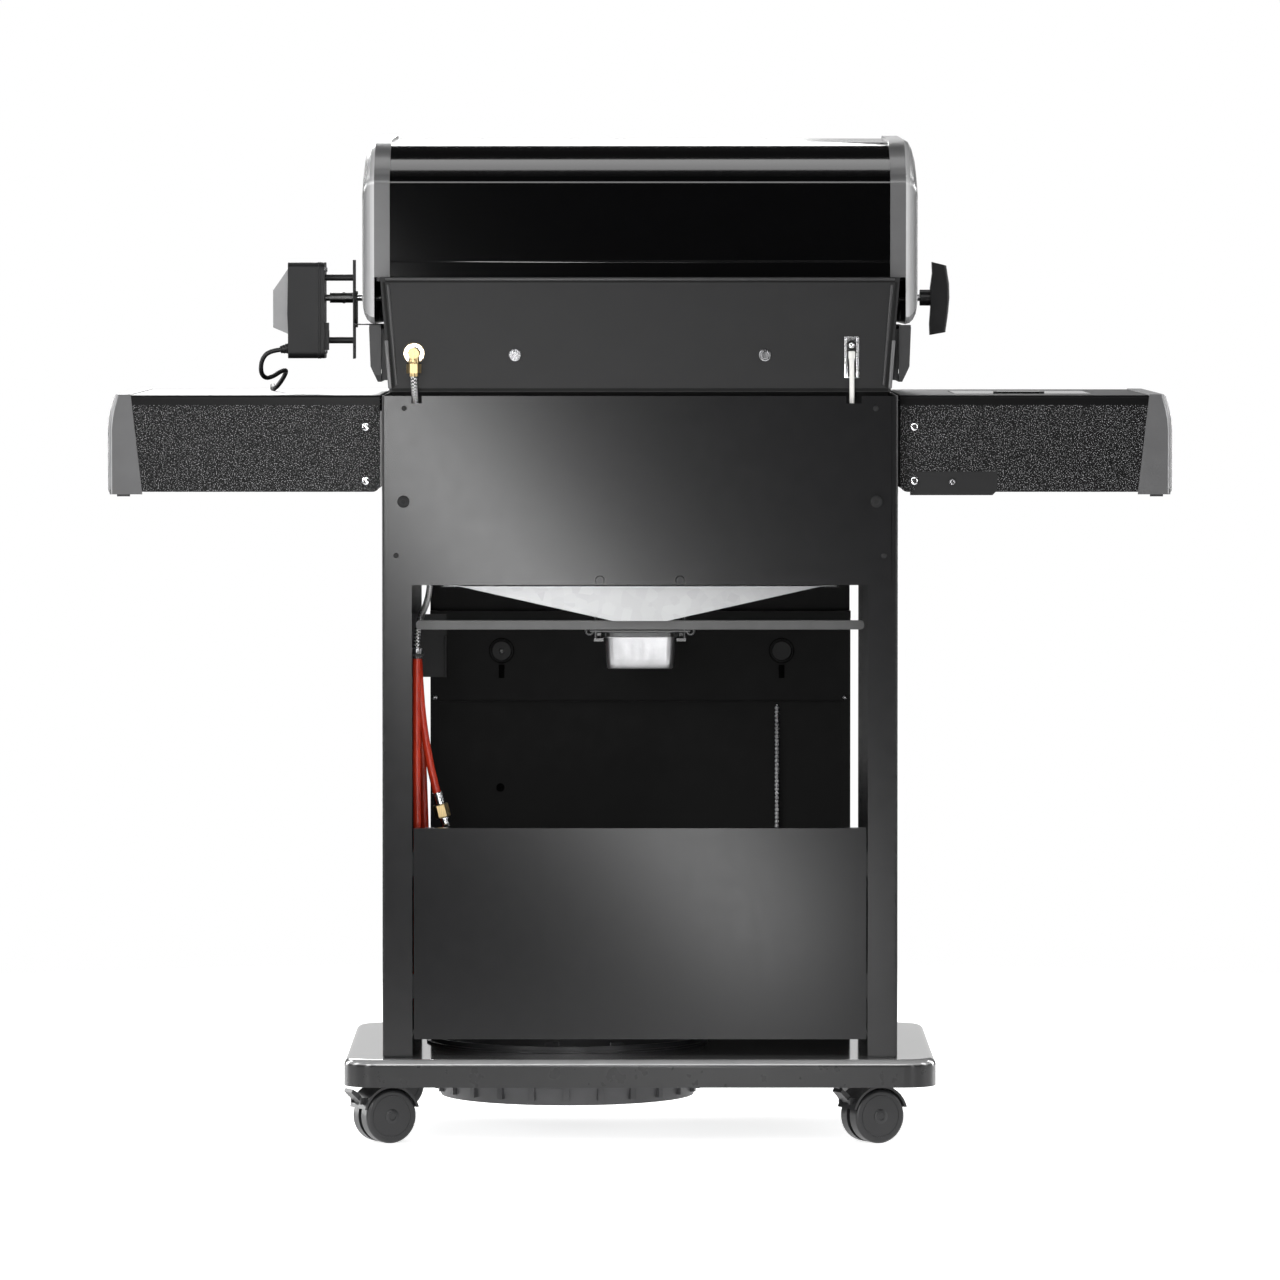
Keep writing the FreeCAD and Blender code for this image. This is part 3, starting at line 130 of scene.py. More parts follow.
def floor():
    """A pale round floor that fades out into the white round it."""
    bm = bmesh.new()
    radius, fade_start, fade_end = 2.6, 1.2, 2.4
    bmesh.ops.create_circle(bm, cap_ends=True, segments=96, radius=radius)
    mesh = bpy.data.meshes.new("floor")
    bm.to_mesh(mesh)
    bm.free()
    obj = bpy.data.objects.new("floor", mesh)
    bpy.context.scene.collection.objects.link(obj)
    m = Mat("studio_floor", (0.9, 0.9, 0.9), 0.55)
    m.noise_colour((0.88, 0.88, 0.88), (0.92, 0.92, 0.92), 1.2)
    m.shader.inputs["Emission Color"].default_value = (1, 1, 1, 1)
    m.shader.inputs["Emission Strength"].default_value = 0.76
    m.fade_out(fade_start, fade_end)
    mesh.materials.append(m.data)


# --- materials -------------------------------------------------------------------------------
class Mat:
    """A Principled material whose colour, roughness and bump come from object-space textures."""

    def __init__(self, name, colour, rough, metal=0.0, coat=0.0, specular=0.5):
        self.data = bpy.data.materials.new(name)
        self.data.use_nodes = True
        self.nodes = self.data.node_tree.nodes
        self.links = self.data.node_tree.links
        self.shader = self.nodes["Principled BSDF"]
        self.shader.inputs["Base Color"].default_value = (*colour, 1)
        self.shader.inputs["Roughness"].default_value = rough
        self.shader.inputs["Metallic"].default_value = metal
        self.shader.inputs["Coat Weight"].default_value = coat
        self.shader.inputs["Coat Roughness"].default_value = 0.08
        self.shader.inputs["Specular IOR Level"].default_value = specular
        self.where = self.nodes.new("ShaderNodeTexCoord").outputs["Object"]
        self.height = None

    def stretched(self, scale):
        node = self.nodes.new("ShaderNodeMapping")
        node.inputs["Scale"].default_value = scale
        self.links.new(self.where, node.inputs["Vector"])
        return node.outputs[0]

    def noise(self, scale, detail=3.0, vector=None):
        node = self.nodes.new("ShaderNodeTexNoise")
        node.inputs["Scale"].default_value = scale
        node.inputs["Detail"].default_value = detail
        self.links.new(vector or self.where, node.inputs["Vector"])
        return node.outputs["Fac"]

    def cells(self, scale, output="Distance"):
        node = self.nodes.new("ShaderNodeTexVoronoi")
        node.inputs["Scale"].default_value = scale
        self.links.new(self.where, node.inputs["Vector"])
        return node.outputs[output]

    def ranged(self, value, low, high, start=0.3, end=0.7):
        """Maps start..end of a value to low..high."""
        node = self.nodes.new("ShaderNodeMapRange")
        node.inputs["From Min"].default_value = start
        node.inputs["From Max"].default_value = end
        node.inputs["To Min"].default_value = low
        node.inputs["To Max"].default_value = high
        self.links.new(value, node.inputs["Value"])
        return node.outputs["Result"]

    def math(self, how, a, b):
        node = self.nodes.new("ShaderNodeMath")
        node.operation = how
        for socket, value in zip(node.inputs, (a, b)):
            if isinstance(value, (int, float)):
                socket.default_value = value
            else:
                self.links.new(value, socket)
        return node.outputs[0]

    def mixed(self, fac, a, b):
        node = self.nodes.new("ShaderNodeMix")
        node.data_type = "RGBA"
        self.links.new(fac, node.inputs["Factor"])
        for socket, value in ((node.inputs[6], a), (node.inputs[7], b)):
            if isinstance(value, tuple):
                socket.default_value = (*value, 1)
            else:
                self.links.new(value, socket)
        return node.outputs[2]

    def noise_colour(self, a, b, scale, detail=4.0, vector=None):
        fac = self.ranged(self.noise(scale, detail, vector), 0.0, 1.0)
        self.links.new(self.mixed(fac, a, b), self.shader.inputs["Base Color"])

    def colour(self, socket):
        self.links.new(socket, self.shader.inputs["Base Color"])

    def rough(self, low, high, scale, vector=None):
        value = self.ranged(self.noise(scale, 4.0, vector), low, high)
        self.links.new(value, self.shader.inputs["Roughness"])

    def bump(self, value, strength, depth_mm, mask=None):
        node = self.nodes.new("ShaderNodeBump")
        node.inputs["Distance"].default_value = depth_mm * MM
        node.inputs["Strength"].default_value = strength
        if mask is not None:
            self.links.new(self.math("MULTIPLY", mask, strength), node.inputs["Strength"])
        self.links.new(value, node.inputs["Height"])
        if self.height is not None:
            self.links.new(self.height, node.inputs["Normal"])
        self.height = node.outputs["Normal"]
        self.links.new(self.height, self.shader.inputs["Normal"])

    def fade_out(self, start, end):
        """Turns clear with distance from the object's middle."""
        length = self.nodes.new("ShaderNodeVectorMath")
        length.operation = "LENGTH"
        self.links.new(self.where, length.inputs[0])
        clear = self.nodes.new("ShaderNodeBsdfTransparent")
        mix = self.nodes.new("ShaderNodeMixShader")
        share = self.ranged(length.outputs["Value"], 0.0, 1.0, start, end)
        self.links.new(share, mix.inputs["Fac"])
        self.links.new(self.shader.outputs[0], mix.inputs[1])
        self.links.new(clear.outputs[0], mix.inputs[2])
        self.links.new(mix.outputs[0], self.nodes["Material Output"].inputs["Surface"])

    def coordinate(self, axis):
        node = self.nodes.new("ShaderNodeSeparateXYZ")
        self.links.new(self.where, node.inputs[0])
        return node.outputs[axis]


def paint(name, colour, rough, spread=0.12, coat=0.0, peel=0.10, specular=0.5):
    """Powder or enamel paint: faint cloudiness, uneven gloss and orange peel."""
    m = Mat(name, colour, rough, coat=coat, specular=specular)
    dark = tuple(c * (1 - spread) for c in colour)
    light = tuple(c * (1 + spread) for c in colour)
    m.noise_colour(dark, light, 30.0)
    m.rough(rough * 0.96, rough * 1.06, 60.0)
    m.bump(m.noise(900.0, 2.0), peel, 0.12)
    return m


def brushed(name, colour, rough, along="X", bright=0.12):
    """Brushed or drawn metal with fine lines along one axis."""
    m = Mat(name, colour, rough, metal=1.0)
    scale = {"X": (6, 900, 900), "Y": (900, 6, 900), "Z": (900, 900, 6)}[along]
    lines = m.stretched(scale)
    dark = tuple(c * (1 - bright) for c in colour)
    light = tuple(min(1, c * (1 + bright)) for c in colour)
    m.noise_colour(dark, light, 1.0, 5.0, lines)
    m.rough(rough * 0.8, rough * 1.3, 1.0, lines)
    m.bump(m.noise(1.0, 4.0, lines), 0.12, 0.05)
    return m


def painted_highlight_paint(name, colour, bright, plain, start, end):
    """Cast grey paint with a painted highlight: brighter up to start and plain from end, in |X|
    metres.
    """
    m = Mat(name, colour, 0.26, coat=0.3)
    across = m.math("ABSOLUTE", m.coordinate("X"), 0.0)
    past_highlight = m.ranged(across, 0.0, 1.0, start, end)
    # Painted highlight: bright colour near the flat rim, plain colour further out.
    m.colour(m.mixed(past_highlight, bright, plain))
    m.bump(m.noise(900.0, 2.0), 0.1, 0.12)
    return m


def materials():
    lib = {}
    lib["enamel"] = paint("black_enamel", (0.0014, 0.0014, 0.0016), 0.09, 0.1, 0.3, 0.01)
    lib["cast_grey"] = paint("cast_grey_paint", (0.13, 0.13, 0.132), 0.30, 0.05, 0.25, 0.14)
    lib["charcoal"] = paint("charcoal_powder_coat", (0.010, 0.010, 0.0105), 0.215, 0.05, 0.0, 0.04)
    lib["black"] = paint("black_powder_coat", (0.016, 0.016, 0.0165), 0.45, 0.06, 0.0, 0.12, 0.4)
    lib["inner_black"] = paint(
        "inner_black_paint", (0.007, 0.007, 0.007), 0.55, 0.08, 0.0, 0.1, 0.18
    )
    # Deepest matte black for painted shadow round the clips and painted shade in the keyhole
    # slots; the door liner's screw takes it too.
    lib["deep_shade_black"] = paint("deep_black_painted_shade", (0.0015, 0.0015, 0.0015), 0.7, 0.1, 0.0, 0.05, 0.05)
    # A darker copy of the charcoal powder coat: painted shade for the rear lower panel.
    lib["charcoal_painted_shade"] = paint(
        "charcoal_powder_coat_painted_shade", (0.008, 0.008, 0.0085), 0.22, 0.05, 0.0, 0.04, 0.32
    )
    lib["firebox"] = paint(
        "firebox_satin_black", (0.012, 0.012, 0.0125), 0.45, 0.06, 0.0, 0.12, 0.34
    )
    # A lighter black as a painted sheen on the firebox's rim bead; the cross panel's screw takes
    # it too.
    lib["rim"] = paint("firebox_rim_black_painted_sheen", (0.03, 0.03, 0.031), 0.34, 0.06, 0.0, 0.1, 0.6)
    lib["cheek"] = paint("cheek_dark_grey", (0.036, 0.036, 0.037), 0.4, 0.08, 0.0, 0.12, 0.4)
    # The spit motor's nose is painted light grey as a painted sheen on the black housing.
    lib["nose"] = paint("motor_nose_painted_sheen", (0.38, 0.38, 0.385), 0.5, 0.1, 0.0, 0.4)
    lib["bracket"] = paint("bracket_dark_grey", (0.013, 0.013, 0.0135), 0.5, 0.08, 0.0, 0.1, 0.3)
    lib["base"] = paint("base_grey_gloss", (0.017, 0.017, 0.0175), 0.28, 0.06, 0.1, 0.0, 0.35)
    # The base shelf's top is painted light grey as a painted reflection of the bright room.
    lib["base_top"] = paint("base_top_painted_reflection", (0.30, 0.30, 0.301), 0.12, 0.06, 1.0, 0.03, 1.0)
    lib["rail"] = paint("tray_rail_grey", (0.062, 0.062, 0.062), 0.36)
    lib["motor"] = paint("motor_housing_black", (0.013, 0.013, 0.014), 0.45, 0.1, 0.0, 0.45, 0.4)
    lib["plastic"] = paint("black_moulded_plastic", (0.016, 0.016, 0.017), 0.36, 0.1, 0.0, 0.3)
    lib["wheel"] = paint("wheel_grey_plastic", (0.013, 0.013, 0.014), 0.34, 0.12, 0.0, 0.25)
    lib["well"] = paint("well_grey_plastic", (0.06, 0.06, 0.063), 0.42, 0.14, 0.0, 0.3)
    lib["steel"] = brushed("stainless", (0.56, 0.56, 0.57), 0.28)
    lib["steel_y"] = brushed("stainless_lengthways", (0.5, 0.5, 0.51), 0.32, "Y")
    lib["bright"] = brushed("bright_plated", (0.78, 0.78, 0.79), 0.16, "Z", 0.06)
    lib["chain"] = brushed("plated_chain", (0.42, 0.42, 0.43), 0.25, "Z", 0.2)
    lib["brass"] = brushed("brass", (0.54, 0.41, 0.21), 0.3, "Z", 0.3)
    lib["dark_steel"] = brushed("blackened_steel", (0.10, 0.10, 0.10), 0.3, "X", 0.3)
    lib["bead"] = paint("plated_beads", (0.62, 0.62, 0.63), 0.3, 0.1, 0.4, 0.1)

    # Hammertone below a smooth black band along the shelf's top edge.
    m = Mat("hammertone_black", (0.012, 0.012, 0.013), 0.36, specular=0.2)
    below = m.ranged(m.coordinate("Z"), 1.0, 0.0, 0.9058, 0.9068)
    grain = m.noise(760.0, 1.0)
    speck = m.math("MULTIPLY", m.ranged(grain, 0.0, 1.0, 0.595, 0.65), below)
    m.colour(m.mixed(speck, (0.002, 0.002, 0.0022), (0.34, 0.34, 0.347)))
    m.bump(m.math("ADD", m.cells(520.0), grain), 0.5, 0.5, below)
    lib["hammertone"] = m

    # The lid's end caps and the shelves' end caps get a painted highlight next to their flat rims.
    lib["cap_edge_painted_highlight"] = painted_highlight_paint(
        "cast_grey_edge_painted_highlight", (0.3, 0.3, 0.305), (0.55, 0.55, 0.555), (0.15, 0.15, 0.153),
        0.3265, 0.3385,
    )
    lib["corner"] = painted_highlight_paint(
        "cast_grey_corner_painted_highlight", (0.5, 0.5, 0.505), (0.40, 0.40, 0.405), (0.13, 0.13, 0.132),
        0.6465, 0.6515,
    )

    m = Mat("galvanised_sheet", (0.74, 0.75, 0.76), 0.36, metal=0.85)
    grey = m.ranged(m.cells(85.0, "Color"), 0.0, 1.0, 0.0, 1.0)
    m.colour(m.mixed(grey, (0.31, 0.313, 0.316), (0.36, 0.363, 0.366)))
    m.bump(m.cells(85.0), 0.1, 0.1)
    lib["galvanised"] = m

    m = Mat("pressed_foil", (0.46, 0.46, 0.47), 0.34, metal=0.9)
    m.noise_colour((0.42, 0.42, 0.43), (0.50, 0.50, 0.51), 60.0)
    m.bump(m.cells(150.0), 0.14, 0.4)
    m.bump(m.noise(420.0, 4.0), 0.12, 0.2)
    lib["foil"] = m

    m = Mat("cast_iron_enamel", (0.014, 0.014, 0.014), 0.5)
    m.noise_colour((0.010, 0.010, 0.010), (0.024, 0.022, 0.020), 40.0)
    m.bump(m.noise(350.0, 5.0), 0.5, 0.3)
    lib["iron"] = m

    m = Mat("red_rubber", (0.46, 0.024, 0.008), 0.26, specular=0.45)
    m.noise_colour((0.40, 0.020, 0.007), (0.56, 0.036, 0.011), 18.0)
    m.bump(m.noise(500.0, 3.0), 0.15, 0.15)
    lib["red"] = m

    m = Mat("black_rubber", (0.018, 0.018, 0.019), 0.48)
    m.noise_colour((0.013, 0.013, 0.014), (0.028, 0.028, 0.029), 60.0)
    m.bump(m.noise(800.0, 3.0), 0.2, 0.15)
    lib["rubber"] = m

    m = Mat("braided_steel", (0.62, 0.62, 0.62), 0.35, metal=0.85)
    waves = []
    for vector in (m.where, m.stretched((-1.0, 1.0, 1.0))):
        wave = m.nodes.new("ShaderNodeTexWave")
        wave.bands_direction = "DIAGONAL"
        wave.inputs["Scale"].default_value = 135.0
        m.links.new(vector, wave.inputs["Vector"])
        waves.append(wave.outputs["Fac"])
    both = m.math("MULTIPLY", *waves)
    m.colour(m.mixed(m.ranged(both, 0.0, 1.0, 0.1, 0.4), (0.02, 0.02, 0.02), (0.95, 0.95, 0.95)))
    m.bump(both, 0.8, 0.6)
    lib["braid"] = m

    m = Mat("white_ceramic", (0.80, 0.79, 0.76), 0.35)
    m.noise_colour((0.74, 0.73, 0.70), (0.86, 0.85, 0.82), 80.0)
    m.bump(m.noise(700.0, 2.0), 0.1, 0.1)
    lib["ceramic"] = m

    m = Mat("dial_face", (0.72, 0.72, 0.70), 0.5)
    m.noise_colour((0.68, 0.68, 0.66), (0.76, 0.76, 0.74), 50.0)
    lib["dial"] = m
    return {k: v.data for k, v in lib.items()}


def dress(node, *mats):
    """Gives a CAD node these materials. All its faces take the first one."""
    mesh = NODES[node].data
    mesh.materials.clear()
    for m in mats:
        mesh.materials.append(LIB[m])
    for poly in mesh.polygons:
        poly.material_index = 0
    return mesh


def dress_where(node, base, rules):
    """Gives a node its base material, and another one to the faces that a rule picks."""
    mesh = dress(node, base, *[name for name, _ in rules])
    for poly in mesh.polygons:
        centre = poly.center
        for i, (_, rule) in enumerate(rules):
            if rule(centre, poly.normal):
                poly.material_index = i + 1
                break


# --- piece builders ----------------------------------------------------------------------------
def piece(name, bm, mat, body, smooth=35.0):
    """Turns bm into a mesh object that rides on a body. smooth is the sharp-edge angle."""
    mesh = bpy.data.meshes.new(name)
    bmesh.ops.recalc_face_normals(bm, faces=bm.faces)
    bm.to_mesh(mesh)
    bm.free()
    mesh.materials.append(LIB[mat])
    obj = bpy.data.objects.new(name, mesh)
    bpy.context.scene.collection.objects.link(obj)
    if smooth:
        mesh.shade_smooth()
        mesh.set_sharp_from_angle(angle=math.radians(smooth))
    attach(obj, body)
    return obj


def turned(bm, profile, place, axis, steps=40):
    """Adds a closed turned solid to bm. profile is (along, radius) pairs in millimetres."""
    spin = Vector((0, 0, 1)).rotation_difference(Vector(axis)).to_matrix().to_4x4()
    where = Matrix.Translation(Vector(place) * MM) @ spin
    rings = []
    for along, radius in profile:
        if radius <= 0:
            rings.append([bm.verts.new(where @ Vector((0, 0, along * MM)))])
            continue
        ring = []
        for i in range(steps):
            a = 2 * math.pi * i / steps
            point = Vector((radius * math.cos(a), radius * math.sin(a), along)) * MM
            ring.append(bm.verts.new(where @ point))
        rings.append(ring)
    for low, high in zip(rings, rings[1:]):
        for i in range(steps):
            j = (i + 1) % steps
            if len(low) == 1 and len(high) == 1:
                continue
            if len(low) == 1:
                bm.faces.new((low[0], high[j], high[i]))
            elif len(high) == 1:
                bm.faces.new((low[i], low[j], high[0]))
            else:
                bm.faces.new((low[i], low[j], high[j], high[i]))


def block(bm, x0, x1, y0, y1, z0, z1, round_mm=0.0):
    """Adds a box to bm, in millimetres, with rounded edges if asked."""
    made = bmesh.ops.create_cube(bm, size=1.0)
    for v in made["verts"]:
        v.co.x = (x0 + x1) / 2 * MM + v.co.x * (x1 - x0) * MM
        v.co.y = (y0 + y1) / 2 * MM + v.co.y * (y1 - y0) * MM
        v.co.z = (z0 + z1) / 2 * MM + v.co.z * (z1 - z0) * MM
    if round_mm:
        edges = list({e for v in made["verts"] for e in v.link_edges})
        bmesh.ops.bevel(
            bm, geom=edges, offset=round_mm * MM, segments=3, profile=0.5, affect="EDGES"
        )


def smooth_line(name, points, diameter, mat, body):
    """A round cord whose NURBS line takes the route's points as its control points."""
    curve = bpy.data.curves.new(name, "CURVE")
    curve.dimensions = "3D"
    curve.bevel_depth = diameter / 2 * MM
    curve.bevel_resolution = 6
    curve.resolution_u = 8
    curve.use_fill_caps = True
    spline = curve.splines.new("NURBS")
    spline.points.add(len(points) - 1)
    for target, point in zip(spline.points, points):
        target.co = (point[0] * MM, point[1] * MM, point[2] * MM, 1.0)
    spline.order_u = 3
    spline.use_endpoint_u = True
    curve.materials.append(LIB[mat])
    obj = bpy.data.objects.new(name, curve)
    bpy.context.scene.collection.objects.link(obj)
    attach(obj, body)
    return obj


# --- cords ------------------------------------------------------------------------------------
HOSE_ROUTE = [
    (274.7, 219.0, 594.0), (275.4, 217.5, 482.0), (274.0, 219.5, 368.0), (275.0, 217.0, 252.0),
    (275.0, 219.0, 134.0), (268.0, 90.0, 132.0), (265.4, 89.0, 248.0), (267.5, 91.0, 364.0),
    (272.0, 89.0, 481.0), (276.5, 90.0, 599.0), (274.5, 202.0, 602.0), (266.5, 203.0, 489.0),
    (250.5, 203.0, 428.0),
]
LINE_ROUTE = [
    (276.0, 288.5, 942.0), (275.6, 288.3, 926.0), (273.5, 275.5, 905.0), (273.0, 273.5, 878.0),
    (272.0, 272.8, 826.0), (269.0, 273.0, 774.0), (262.0, 271.0, 728.0), (256.0, 259.0, 690.0),
    (262.0, 240.0, 661.0), (274.2, 219.6, 637.5), (274.7, 219.0, 606.5),
]
LEAD_ROUTE = [
    (-258.5, 284.5, 960.0), (-258.6, 284.8, 943.0), (-258.7, 284.6, 925.5), (-259.0, 274.5, 903.0),
    (-259.7, 272.6, 872.0), (-260.0, 272.0, 842.0),
]
MOTOR_ROUTE = [
    (449.0, 50.0, 972.0), (463.0, 50.0, 970.5), (472.5, 49.0, 960.0), (474.0, 45.0, 944.0),
    (469.0, 30.5, 936.0), (460.0, 14.0, 938.0), (450.0, 0.0, 945.0), (444.5, -16.0, 946.0),
    (446.5, -34.0, 940.0), (452.5, -50.0, 931.0), (458.5, -66.0, 924.0), (462.0, -84.0, 921.9),
    (464.5, -112.0, 922.2), (467.0, -152.0, 921.9), (469.0, -198.0, 922.3), (471.5, -240.0, 925.0),
    (472.0, -240.5, 884.5),
]
COIL = dict(x=472.0, y=-240.5, z=844.0, turns=5)


def coil_points():
    """Turns that lie beside and on each other round the coil's middle, a diameter apart."""
    seats = [(-3.0, 33.0), (3.0, 33.0), (5.0, 38.5), (-1.0, 38.6), (-4.4, 38.4), (0.5, 33.6)]
    points = []
    per_turn = 14
    for turn in range(COIL["turns"]):
        here, after = seats[turn], seats[turn + 1]
        for i in range(per_turn):
            share = i / per_turn
            step = max(0.0, share * 4 - 3)
            off = here[0] + (after[0] - here[0]) * step
            radius = here[1] + (after[1] - here[1]) * step
            angle = math.pi / 2 - 2 * math.pi * share
            points.append((
                COIL["x"] + radius * math.cos(angle),
                COIL["y"] + off,
                COIL["z"] + radius * math.sin(angle),
            ))
    return points


def cords():
    hose = smooth_line("red_gas_hose", HOSE_ROUTE, 10.0, "red", "grill")
    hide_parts("gas_hose")
    fitting = hose_end()
    line = smooth_line("braided_supply_line", LINE_ROUTE, 7.8, "braid", "grill")
    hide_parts("rear_gas_line")
    cord = smooth_line(
        "motor_lead", MOTOR_ROUTE[:-1] + [(472.0, -240.5, 892.0)] + coil_points(), 5.8,
        "rubber", "grill",
    )
    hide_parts("motor_cord", "motor_cord_coil")
    plug = plug_piece()
    tie = tie_piece()


def hose_end():
    """Crimped ferrule, brass hexagon and plated nose at the hose's free end."""
    end = Vector(HOSE_ROUTE[-1])
    heading = (end - Vector(HOSE_ROUTE[-2])).normalized()
    bm = bmesh.new()
    crimp = [(0, 0), (0, 6.6)]
    for i in range(4):
        at = 3.6 * i
        crimp += [(1.0 + at, 7.1), (2.4 + at, 7.1), (3.0 + at, 6.3), (4.0 + at, 6.3)]
    crimp += [(15.2, 6.9), (15.2, 0)]
    turned(bm, crimp, end, heading)
    nose = [
        (31.5, 0), (31.5, 6.0), (35, 6.0), (36, 5.2), (40, 5.2), (41, 6.0), (44, 5.6), (44, 0),
    ]
    turned(bm, nose, end, heading)
    ferrule = piece("hose_ferrule", bm, "bright", "grill")
    bm = bmesh.new()
    hexagon = [(15.0, 0), (15.0, 8.6), (16.2, 9.7), (30.6, 9.7), (32, 8.6), (32, 0)]
    turned(bm, hexagon, end, heading, 6)
    nut = piece("hose_hexagon", bm, "brass", "grill", 20)
    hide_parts("gas_hose_fitting")
    return [ferrule, nut]


def plug_piece():
    """A two-pin moulded plug with grip ridges and a ribbed neck."""
    x, y, z = COIL["x"], COIL["y"], COIL["z"]
    bm = bmesh.new()
    block(bm, x - 10.8, x + 10.8, y - 6.8, y + 6.8, z - 12, z + 18, 2.5)
    for i in range(4):
        block(bm, x - 11, x + 11, y - 7, y + 7, z - 5 + i * 4.5, z - 3.4 + i * 4.5, 0.5)
    neck = [(0, 0), (0, 5)]
    for i in range(3):
        at, low = 2.6 * i, 4 - 0.3 * i
        neck += [(1 + at, 5 - 0.4 * i), (2 + at, low), (3 + at, low)]
    neck += [(9, 3.4), (9, 0)]
    turned(bm, neck, (x, y, z + 17.8), (0, 0, 1), 24)
    body = piece("motor_plug", bm, "plastic", "grill")
    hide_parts("mains_plug")
    bm = bmesh.new()
    for side in (-6.3, 6.3):
        block(bm, x + side - 0.8, x + side + 0.8, y - 3, y + 3, z - 24, z - 11.5, 0.5)
    pins = piece("motor_plug_pins", bm, "bright", "grill")
    pins.parent = body
    pins.matrix_parent_inverse = Matrix.Identity(4)
    return body


def tie_piece():
    """A flat band round the coil's lowest strands."""
    x, y, z = COIL["x"], COIL["y"], COIL["z"]
    bm = bmesh.new()
    for side in (y - 8.2, y + 8.2):
        block(bm, x - 4.5, x + 4.5, side - 0.7, side + 0.7, z - 43, z - 27, 0.5)
    block(bm, x - 4.5, x + 4.5, y - 8.8, y + 8.8, z - 43.2, z - 42, 0.5)
    block(bm, x - 4.5, x + 4.5, y - 8.8, y + 8.8, z - 28.2, z - 27, 0.5)
    return piece("cord_tie", bm, "rubber", "grill")


# --- small hardware ------------------------------------------------------------------------------
def cross_head(bm, x, y, z, radius, height, way=1):
    """A domed screw head facing +Y or -Y with a sunk cross."""
    dome = [(0, 0), (0, radius)]
    for i in range(1, 6):
        a = math.radians(15 * i)
        dome.append((height * (0.35 + 0.65 * math.sin(a)), radius * (0.35 + 0.65 * math.cos(a))))
    dome.append((height * 0.86, radius * 0.30))
    dome.append((height * 0.45, radius * 0.26))
    dome.append((height * 0.45, 0))
    turned(bm, dome, (x, y, z), (0, way, 0), 28)


def fasteners():
    """Screws of the shield, nuts of the burner, and the bolts and screws of the shelves."""
    bm = bmesh.new()
    for s in (1, -1):
        for x, z in ((288, 903), (298, 723)):
            cross_head(bm, s * x, SHIELD_FACE, z, 3.3, 1.6)
        place = (s * 289, SHIELD_FACE, 789)
        turned(bm, [(0, 0), (0, 7.5), (0.8, 7.5), (0.8, 0)], place, (0, 1, 0))
        socket = [
            (0.5, 0), (0.5, 6.2), (4.4, 6.2), (5.0, 5.6), (5.0, 3.2), (2.6, 3.0), (2.6, 0),
        ]
        turned(bm, socket, place, (0, 1, 0))
    heads = piece("shield_screws", bm, "bracket", "grill")
    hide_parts("panel_screws")
    bm = bmesh.new()
    for s in (1, -1):
        place = (s * 152.7, FIREBOX_FACE, 968)
        turned(bm, [(0, 0), (0, 7.4), (0.9, 7.4), (1.3, 6.6), (1.3, 0)], place, (0, 1, 0))
        nut = [(1, 0), (1, 5.6), (4.4, 5.6), (5.0, 4.8), (5.0, 3.0), (3.4, 2.8), (3.4, 0)]
        turned(bm, nut, place, (0, 1, 0), 6)
        cross_head(bm, s * 262, FRONT_PANEL_FACE, 525, 3.2, 1.9)
    piece("burner_nuts", bm, "chain", "grill", 20)
    bm = bmesh.new()
    cross_head(bm, 177, CLIP_FACE + 2.2, 585, 3.4, 1.2)
    piece("cross_panel_screws", bm, "rim", "grill", 20)
    for side, s in (("right", 1), ("left", -1)):
        bm = bmesh.new()
        for z in (813.7, 880.0):
            for face, way in ((249.9, 1), (-219.9, -1)):
                turned(bm, BUTTON, (s * 336, face, z), (0, way, 0))
        piece("shelf_bolt_heads_" + side, bm, "bright", side + "_shelf")
    bm = bmesh.new()
    cross_head(bm, -383, 251.1, 812, 4.3, 2.2)
    piece("stay_screw", bm, "chain", "left_shelf")


def match_holder():
    """The clips of the cross panel with painted shadow rings round them, dark patches as painted
    shade over their keyhole slots, and the chain's end behind the lower panel.
    """
    domes, edges = bmesh.new(), bmesh.new()
    dome = [(0, 0), (0, 13.6), (1.4, 13.2), (2.2, 11.8), (2.2, 0)]
    ring = [(0, 15.0), (0, 16.4), (0.3, 16.4), (0.3, 15.0), (0, 15.0)]
    for x in (177, -181):
        turned(domes, dome, (x, CLIP_FACE, 585), (0, 1, 0), 48)
        # A painted shadow ring round each clip and a painted shade patch over its keyhole slot.
        turned(edges, ring, (x, FRONT_PANEL_FACE, 585), (0, 1, 0), 48)
        block(edges, x - 3.6, x + 3.6, FRONT_PANEL_FACE, FRONT_PANEL_FACE + 0.4, 550, 567, 0.1)
    piece("chain_clips", domes, "bracket", "grill", 20)
    piece("keyholes_painted_shade", edges, "deep_shade_black", "grill", 20)
    bm = bmesh.new()
    turned(bm, [(0, 0), (0, 0.9), (27, 0.9), (27, 0)], (*CHAIN_AT, 349), (0, 0, 1), 12)
    radius, pitch = 2.7, 5.2
    ball = [(-radius, 0)]
    for i in range(1, 8):
        a = math.radians(22.5 * i)
        ball.append((-radius * math.cos(a), radius * math.sin(a)))
    ball.append((radius, 0))
    for i in range(5):
        turned(bm, ball, (*CHAIN_AT, 371.6 - pitch * i), (0, 0, 1), 16)
    piece("match_chain_end", bm, "bead", "grill")
    bm = bmesh.new()
    cross_head(bm, 178.7, -187.6, 409.5, 5.4, 2.0)
    piece("liner_screw", bm, "deep_shade_black", "cabinet_door", 20)


